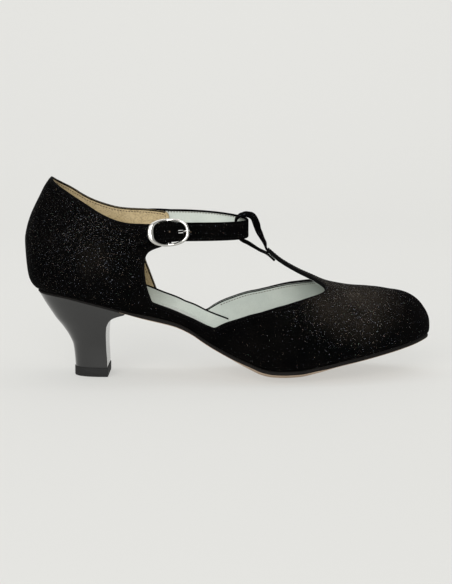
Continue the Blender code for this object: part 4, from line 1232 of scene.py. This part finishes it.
def suede(name):
    """Black napped suede with a fine scatter of coloured glitter, a painted brown-grey sheen round the vamp's
    top and the heel quarter, and glitter painted denser where the light falls.
    """
    made, tree, surface, place = shader(
        name, (0.006, 0.006, 0.006), 0.95,
        {"Specular IOR Level": 0.02, "Sheen Weight": 0.006, "Sheen Roughness": 0.4},
    )
    cloud = noise(tree, place, 70, 3.0)
    nap = noise(tree, place, 1400, 2.0)
    base = ramp(tree, cloud, [(0.35, (0.0006, 0.0006, 0.0007)), (0.7, (0.0018, 0.0016, 0.0015))])
    fibre = ramp(tree, nap, [(0.35, 0.5), (0.7, 1.45)])
    # painted sheen: the suede's colour lightens to brown-grey round the vamp's top and, weaker, the heel
    # quarter, where light falls on the nap
    vamp_sheen = sums(tree, "MULTIPLY", spot(tree, place, *VAMP_SHEEN_SPOT), cloud)
    heel_sheen = sums(tree, "MULTIPLY", spot(tree, place, *HEEL_SHEEN_SPOT), cloud)
    painted_sheen = sums(tree, "MAXIMUM", vamp_sheen, sums(tree, "MULTIPLY", heel_sheen, HEEL_SHEEN_SHARE))
    base = blend(tree, base, PAINTED_SHEEN_TINT, painted_sheen)
    tree.links.new(blend(tree, base, fibre, 1.0, "MULTIPLY"), surface.inputs["Base Color"])
    bump(tree, surface, nap, 0.12 * MM, 0.6)
    cells = node_of(tree, "TexVoronoi", {"Scale": 1 / GLITTER_CELL, "Vector": place}).outputs
    split = node_of(tree, "SeparateColor", {"Color": cells["Color"]}).outputs
    near = sums(tree, "LESS_THAN", cells["Distance"], GLITTER_SIZE)
    # painted highlight: the glitter grows denser towards the upper quarter and the vamp's top, where the
    # light falls
    glitter_and_glint_share = sums(tree, "MAXIMUM", spot(tree, place, *QUARTER_GLINT_SPOT), spot(tree, place, *VAMP_GLINT_SPOT))
    glitter_and_glint_share = sums(tree, "ADD", sums(tree, "MULTIPLY", glitter_and_glint_share, GLITTER_SHARE[1]), GLITTER_SHARE[0])
    mask = sums(tree, "MULTIPLY", near, sums(tree, "LESS_THAN", split[0], glitter_and_glint_share))
    colour = blend(
        tree, ramp(tree, split[1], GLITTER_HUES), ramp(tree, split[2], GLITTER_SHINE), 1.0, "MULTIPLY"
    )
    way = tree.nodes.new("ShaderNodeNewGeometry").outputs["Normal"]
    tilt = cells["Color"]
    for operation, inputs in (
        ("SUBTRACT", {1: (0.5, 0.5, 0.5)}),
        ("SCALE", {"Scale": GLITTER_TILT}),
        ("ADD", {1: way}),
        ("NORMALIZE", {}),
    ):
        tilt = node_of(tree, "VectorMath", {0: tilt, **inputs}, operation=operation).outputs[0]
    spark = node_of(tree, "BsdfPrincipled", {
        "Metallic": 1.0, "Roughness": 0.42, "Base Color": colour, "Normal": tilt,
    })
    mixed = node_of(tree, "MixShader", {0: mask, 1: surface.outputs[0], 2: spark.outputs[0]})
    tree.links.new(mixed.outputs[0], tree.nodes["Material Output"].inputs["Surface"])
    return made


SWEEP_COLOUR = (0.25, 0.249, 0.242)
SWEEP_GLOW = 0.46
WORLD_STRENGTH = 0.40
CAMERA_PLACE = (0.0798, -0.9, 0.17)
CAMERA_AIM = (0.0798, 0.0, 0.049)
CAMERA_LENS = 94.24

# Soft lamps: name, place, aim, size, power, colour
LIGHTS = (
    ("top", (0.1, 0.1, 2.2), (0.1, 0.1, 0), (3.0, 3.0), 18.0, (1.0, 1.0, 0.985)),
    ("front", (-0.3, -1.9, 0.8), (0.08, 0, 0.05), (1.6, 1.2), 44.0, (1.0, 0.995, 0.98)),
    ("back", (0.2, 0.3, 1.3), (0.2, 1.5, 0.5), (2.0, 0.6), 8.0, (1.0, 1.0, 1.0)),
)


def placed(name, data):
    """An object with its data, in the scene."""
    made = bpy.data.objects.new(name, data)
    bpy.context.scene.collection.objects.link(made)
    return made


def aimed(name, data, place, aim):
    """A lamp or camera at a place, turned to a point."""
    made = placed(name, data)
    made.location = place
    made.rotation_euler = (Vector(aim) - Vector(place)).to_track_quat("-Z", "Y").to_euler()
    return made


def stage_floor():
    """A seamless pale sweep under and behind the shoe."""
    bm = bmesh.new()
    width, front, back, radius, top = 3.0, -3.0, 0.9, 0.6, 2.6
    profile = [(front, 0.0), (-0.6, 0.0), (0.4, 0.0), (back, 0.0)]
    for k in range(1, 13):
        turn = math.pi / 2 * k / 12
        profile.append((back + radius * math.sin(turn), radius * (1 - math.cos(turn))))
    profile.append((back + radius, top))
    rows = [[bm.verts.new((x, y, z)) for x in (-width, width)] for y, z in profile]
    for a, b in zip(rows, rows[1:]):
        bm.faces.new((a[0], a[1], b[1], b[0]))
    mesh = bpy.data.meshes.new("sweep")
    bm.to_mesh(mesh)
    bm.free()
    mesh.shade_smooth()
    mesh.materials.append(shader("sweep_paper", SWEEP_COLOUR, 0.85, {
        "Specular IOR Level": 0.2, "Emission Color": (1.0, 1.0, 0.968, 1), "Emission Strength": SWEEP_GLOW,
    })[0])
    floor = placed("sweep", mesh)


def carve(piece, blocks):
    """Cut blocks out of a piece for good."""
    helpers = []
    for index, bm in enumerate(blocks):
        mesh = bpy.data.meshes.new("carve_" + str(index))
        bmesh.ops.recalc_face_normals(bm, faces=bm.faces)
        bm.to_mesh(mesh)
        bm.free()
        helper = placed(mesh.name, mesh)
        cut = piece.modifiers.new(mesh.name, "BOOLEAN")
        cut.operation = "DIFFERENCE"
        cut.solver = "EXACT"
        cut.object = helper
        helpers.append(helper)
    bpy.context.view_layer.update()
    done = bpy.data.meshes.new_from_object(piece.evaluated_get(bpy.context.evaluated_depsgraph_get()))
    piece.modifiers.clear()
    piece.data = done
    for helper in helpers:
        bpy.data.objects.remove(helper)


def strip_fold_mesh():
    """The folded edge along the top of the inner waist strip."""
    line = []
    for k in range(STRIP_STEPS + 1):
        station = STRIP_LINE[0][0] + (STRIP_LINE[-1][0] - STRIP_LINE[0][0]) * k / STRIP_STEPS
        share = strip_share(station)
        out = face_out(INNER, station, share)
        line.append((wall(INNER, station, share) - out * (LINING_DEPTH + STRIP_DEPTH / 2), out))
    places = [place for place, _ in line]
    rings = []
    for k, (place, out) in enumerate(line):
        down = tangent_at(places, k).cross(out).normalized()
        rings.append(ring_about(place, out, STRIP_FOLD_THICK, down, STRIP_FOLD, 12, FOLD_SQUARE))
    bm = bmesh.new()
    loft(bm, rings)
    return bm


def build_upper(cloth, fold, pale, tan, black_thread, brown_thread):
    """Quarter, vamp, lining, folded edge and stitches."""
    quarter = sheet("quarter", 0.0, SKIN_DEPTH, lambda x, s: x < seam_at(s) + UNDERLAP, [cloth])
    vamp = sheet("vamp", -VAMP_LAP, SKIN_DEPTH - VAMP_LAP - VAMP_SKIVE, lambda x, s: x > seam_at(s), [cloth])
    lining = sheet("lining", SKIN_DEPTH, LINING_DEPTH, lambda x, s: True, [pale, tan])
    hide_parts("upper")
    frames = topline_frames()
    edge = add("topline_fold", fold_mesh(frames), [fold, tan])
    inner = [
        [(place - out * (LINING_DEPTH + STITCH_RADIUS * STITCH_SUNK) + down * STITCH_IN, -out)
         for place, out, down, lap, share, ear in run]
        for run in stretches(frames, lambda row: row[4] > WAIST_SHARE)
    ]
    outer = [
        [(place + out * (lap - STITCH_RADIUS * STITCH_SUNK) + down * STITCH_IN, out)
         for place, out, down, lap, share, ear in frames + frames[:1]]
    ]
    add("lining_stitches", stitch_mesh(inner, LINING_STITCH_RADIUS), [brown_thread])
    add("topline_stitches", stitch_mesh(outer), [black_thread])
    strip = sheet(
        "waist_strip", LINING_DEPTH, LINING_DEPTH + STRIP_DEPTH,
        lambda x, s: STRIP_LINE[0][0] < x < STRIP_LINE[-1][0] and s < strip_share(x), [pale], (INNER,)
    )
    add("waist_strip_fold", strip_fold_mesh(), [fold])


def pinhole_at(frames, origin, along, at):
    """The strap's middle and its outward way at a distance along the buckle."""
    near = [(abs((p - origin).dot(along) - at), k) for k, (p, _, _, _, _) in enumerate(frames) if p.y < 0]
    return frames[min(near)[1]][:2]


def build_straps(cloth, fold, pale, black_thread, brown_thread):
    """The ankle strap with its holes and stitches, and the T-bar's loop."""
    frames = strap_frames()
    strap = add("strap", band(frames, STRAP_WIDTH, STRAP_THICKNESS), [cloth, pale])
    origin, along, across, out = buckle_frame()
    blocks = [box(
        origin + along * PRONG_HOLE[0] + out * STRAP_HUMP, (along, across, out),
        (PRONG_HOLE[1], PRONG_HOLE[2], 4 * STRAP_HUMP),
    )]
    pads = bmesh.new()
    for at in (HOLE_AT - HOLE_PITCH, HOLE_AT + HOLE_PITCH):
        centre, face = pinhole_at(frames, origin, along, at)
        ends = [centre + face * HOLE_FLOOR, centre + face * 3 * MM]
        blocks.append(rod(bmesh.new(), ends, HOLE_RADIUS, 20, along))
        rod(pads, [centre + face * depth for depth in HOLE_PAD], HOLE_RADIUS * 0.8, 16, along)
    carve(strap, blocks)
    add("pinhole_bottoms", pads, [brown_thread])
    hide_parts("ankle_strap")
    for name, face, material, radius in (
        ("strap_stitches", 1, black_thread, STITCH_RADIUS),
        ("strap_lining_stitches", -1, brown_thread, LINING_STITCH_RADIUS),
    ):
        aside, above = STRAP_WIDTH / 2 - STRAP_STITCH_IN, face * STRAP_STITCH_LEVEL * STRAP_THICKNESS
        lines = [
            [(p + a * (edge * aside) + o * above, o * face) for p, o, a, share, _ in frames if share > 0.98]
            for edge in (-1, 1)
        ]
        add(name, stitch_mesh(lines, radius), [material])
    loop = add("t_bar_band", band(loop_frames(), LOOP_WIDTH, LOOP_THICKNESS), [cloth, fold])
    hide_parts("t_bar_loop")


def build_sole(edge, under, ledge, sock):
    """The sole with its black-painted edge, its top face pale grey as a painted highlight line, and the sock.
    """
    thick = sole_thickness
    bottom = plate_mesh(-SOLE_MARGIN, lambda x: 0.0, thick, SOLE_ROUND, 10, 2)
    for face in bottom.faces:
        if face.calc_center_median().x < SEAT_END:
            face.material_index = 0
    outsole = add("sole", bottom, [edge, under, ledge], 50)
    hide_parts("outsole")
    low, high = (lambda x: thick(x) + GAP), (lambda x: thick(x) + GAP + INSOLE_THICKNESS)
    insole = add("sock", plate_mesh(UPPER_WALL + GAP, low, high, SOCK_ROUND), [sock, sock, sock], 50)
    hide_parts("insole")


def build_buckle(plating, cloth):
    """The oval, its prong and the tab round its bar, bored and notched."""
    buckle = add("buckle_oval", buckle_mesh(), [plating])
    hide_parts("buckle")
    prong = add("buckle_tongue", prong_mesh(), [plating])
    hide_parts("buckle_prong")
    tab = add("buckle_loop", tab_mesh(), [cloth], 30)
    origin, along, across, out = buckle_frame()
    middle = origin + out * BUCKLE_BAR_LEVEL
    ends = [middle - across * TAB_SHOWN, middle + across * TAB_SHOWN]
    bore = rod(bmesh.new(), ends, BUCKLE_BAR / 2 + GAP, 20, along)
    carve(tab, [bore, box(middle, (along, across, out), (2 * SLOT_REACH, SLOT_WIDTH, 6 * BUCKLE_WIRE))])
    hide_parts("buckle_tab")


def studio():
    """The ground, the soft light and the camera."""
    stage_floor()
    scene = bpy.context.scene
    world = bpy.data.worlds.new("studio")
    world.use_nodes = True
    sky = world.node_tree.nodes["Background"]
    sky.inputs["Color"].default_value = (1.0, 1.0, 0.985, 1)
    sky.inputs["Strength"].default_value = WORLD_STRENGTH
    scene.world = world
    for name, place, aim, size, power, colour in LIGHTS:
        data = bpy.data.lights.new(name, "AREA")
        data.shape = "RECTANGLE"
        data.size, data.size_y = size
        data.energy = power
        data.color = colour
        aimed(name, data, place, aim)
    scene.view_settings.view_transform = "Standard"
    camera_data = bpy.data.cameras.new("camera")
    camera_data.lens = CAMERA_LENS
    camera_data.sensor_width = 36
    scene.camera = aimed("camera", camera_data, CAMERA_PLACE, CAMERA_AIM)


def main():
    cloth = suede("suede")
    look = {name: grained(name, **values) for name, values in LOOKS.items()}
    fold, pale, tan = look["fold_leather"], look["pale_lining"], look["tan_lining"]
    black_thread = thread("black_thread", (0.005, 0.005, 0.005))
    brown_thread = thread("brown_thread", (0.10, 0.075, 0.055))
    # painted highlight: the sole's top face is pale grey, a thin line at the joint under the upper that
    # stands in for light catching the top of the sole's edge
    ledge = thread("ledge_highlight", (0.06, 0.053, 0.047))
    build_upper(cloth, fold, pale, tan, black_thread, brown_thread)
    build_straps(cloth, fold, pale, black_thread, brown_thread)
    build_sole(look["sole_edge"], look["sole_suede"], ledge, look["sock_leather"])
    heel = add("spool_heel", heel_mesh(), [look["heel_lacquer"]], 35)
    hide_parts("heel")
    lift = add("heel_lift", lift_mesh(), [look["lift_rubber"]], 50)
    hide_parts("top_lift")
    build_buckle(look["buckle_plating"], cloth)
    studio()


main()
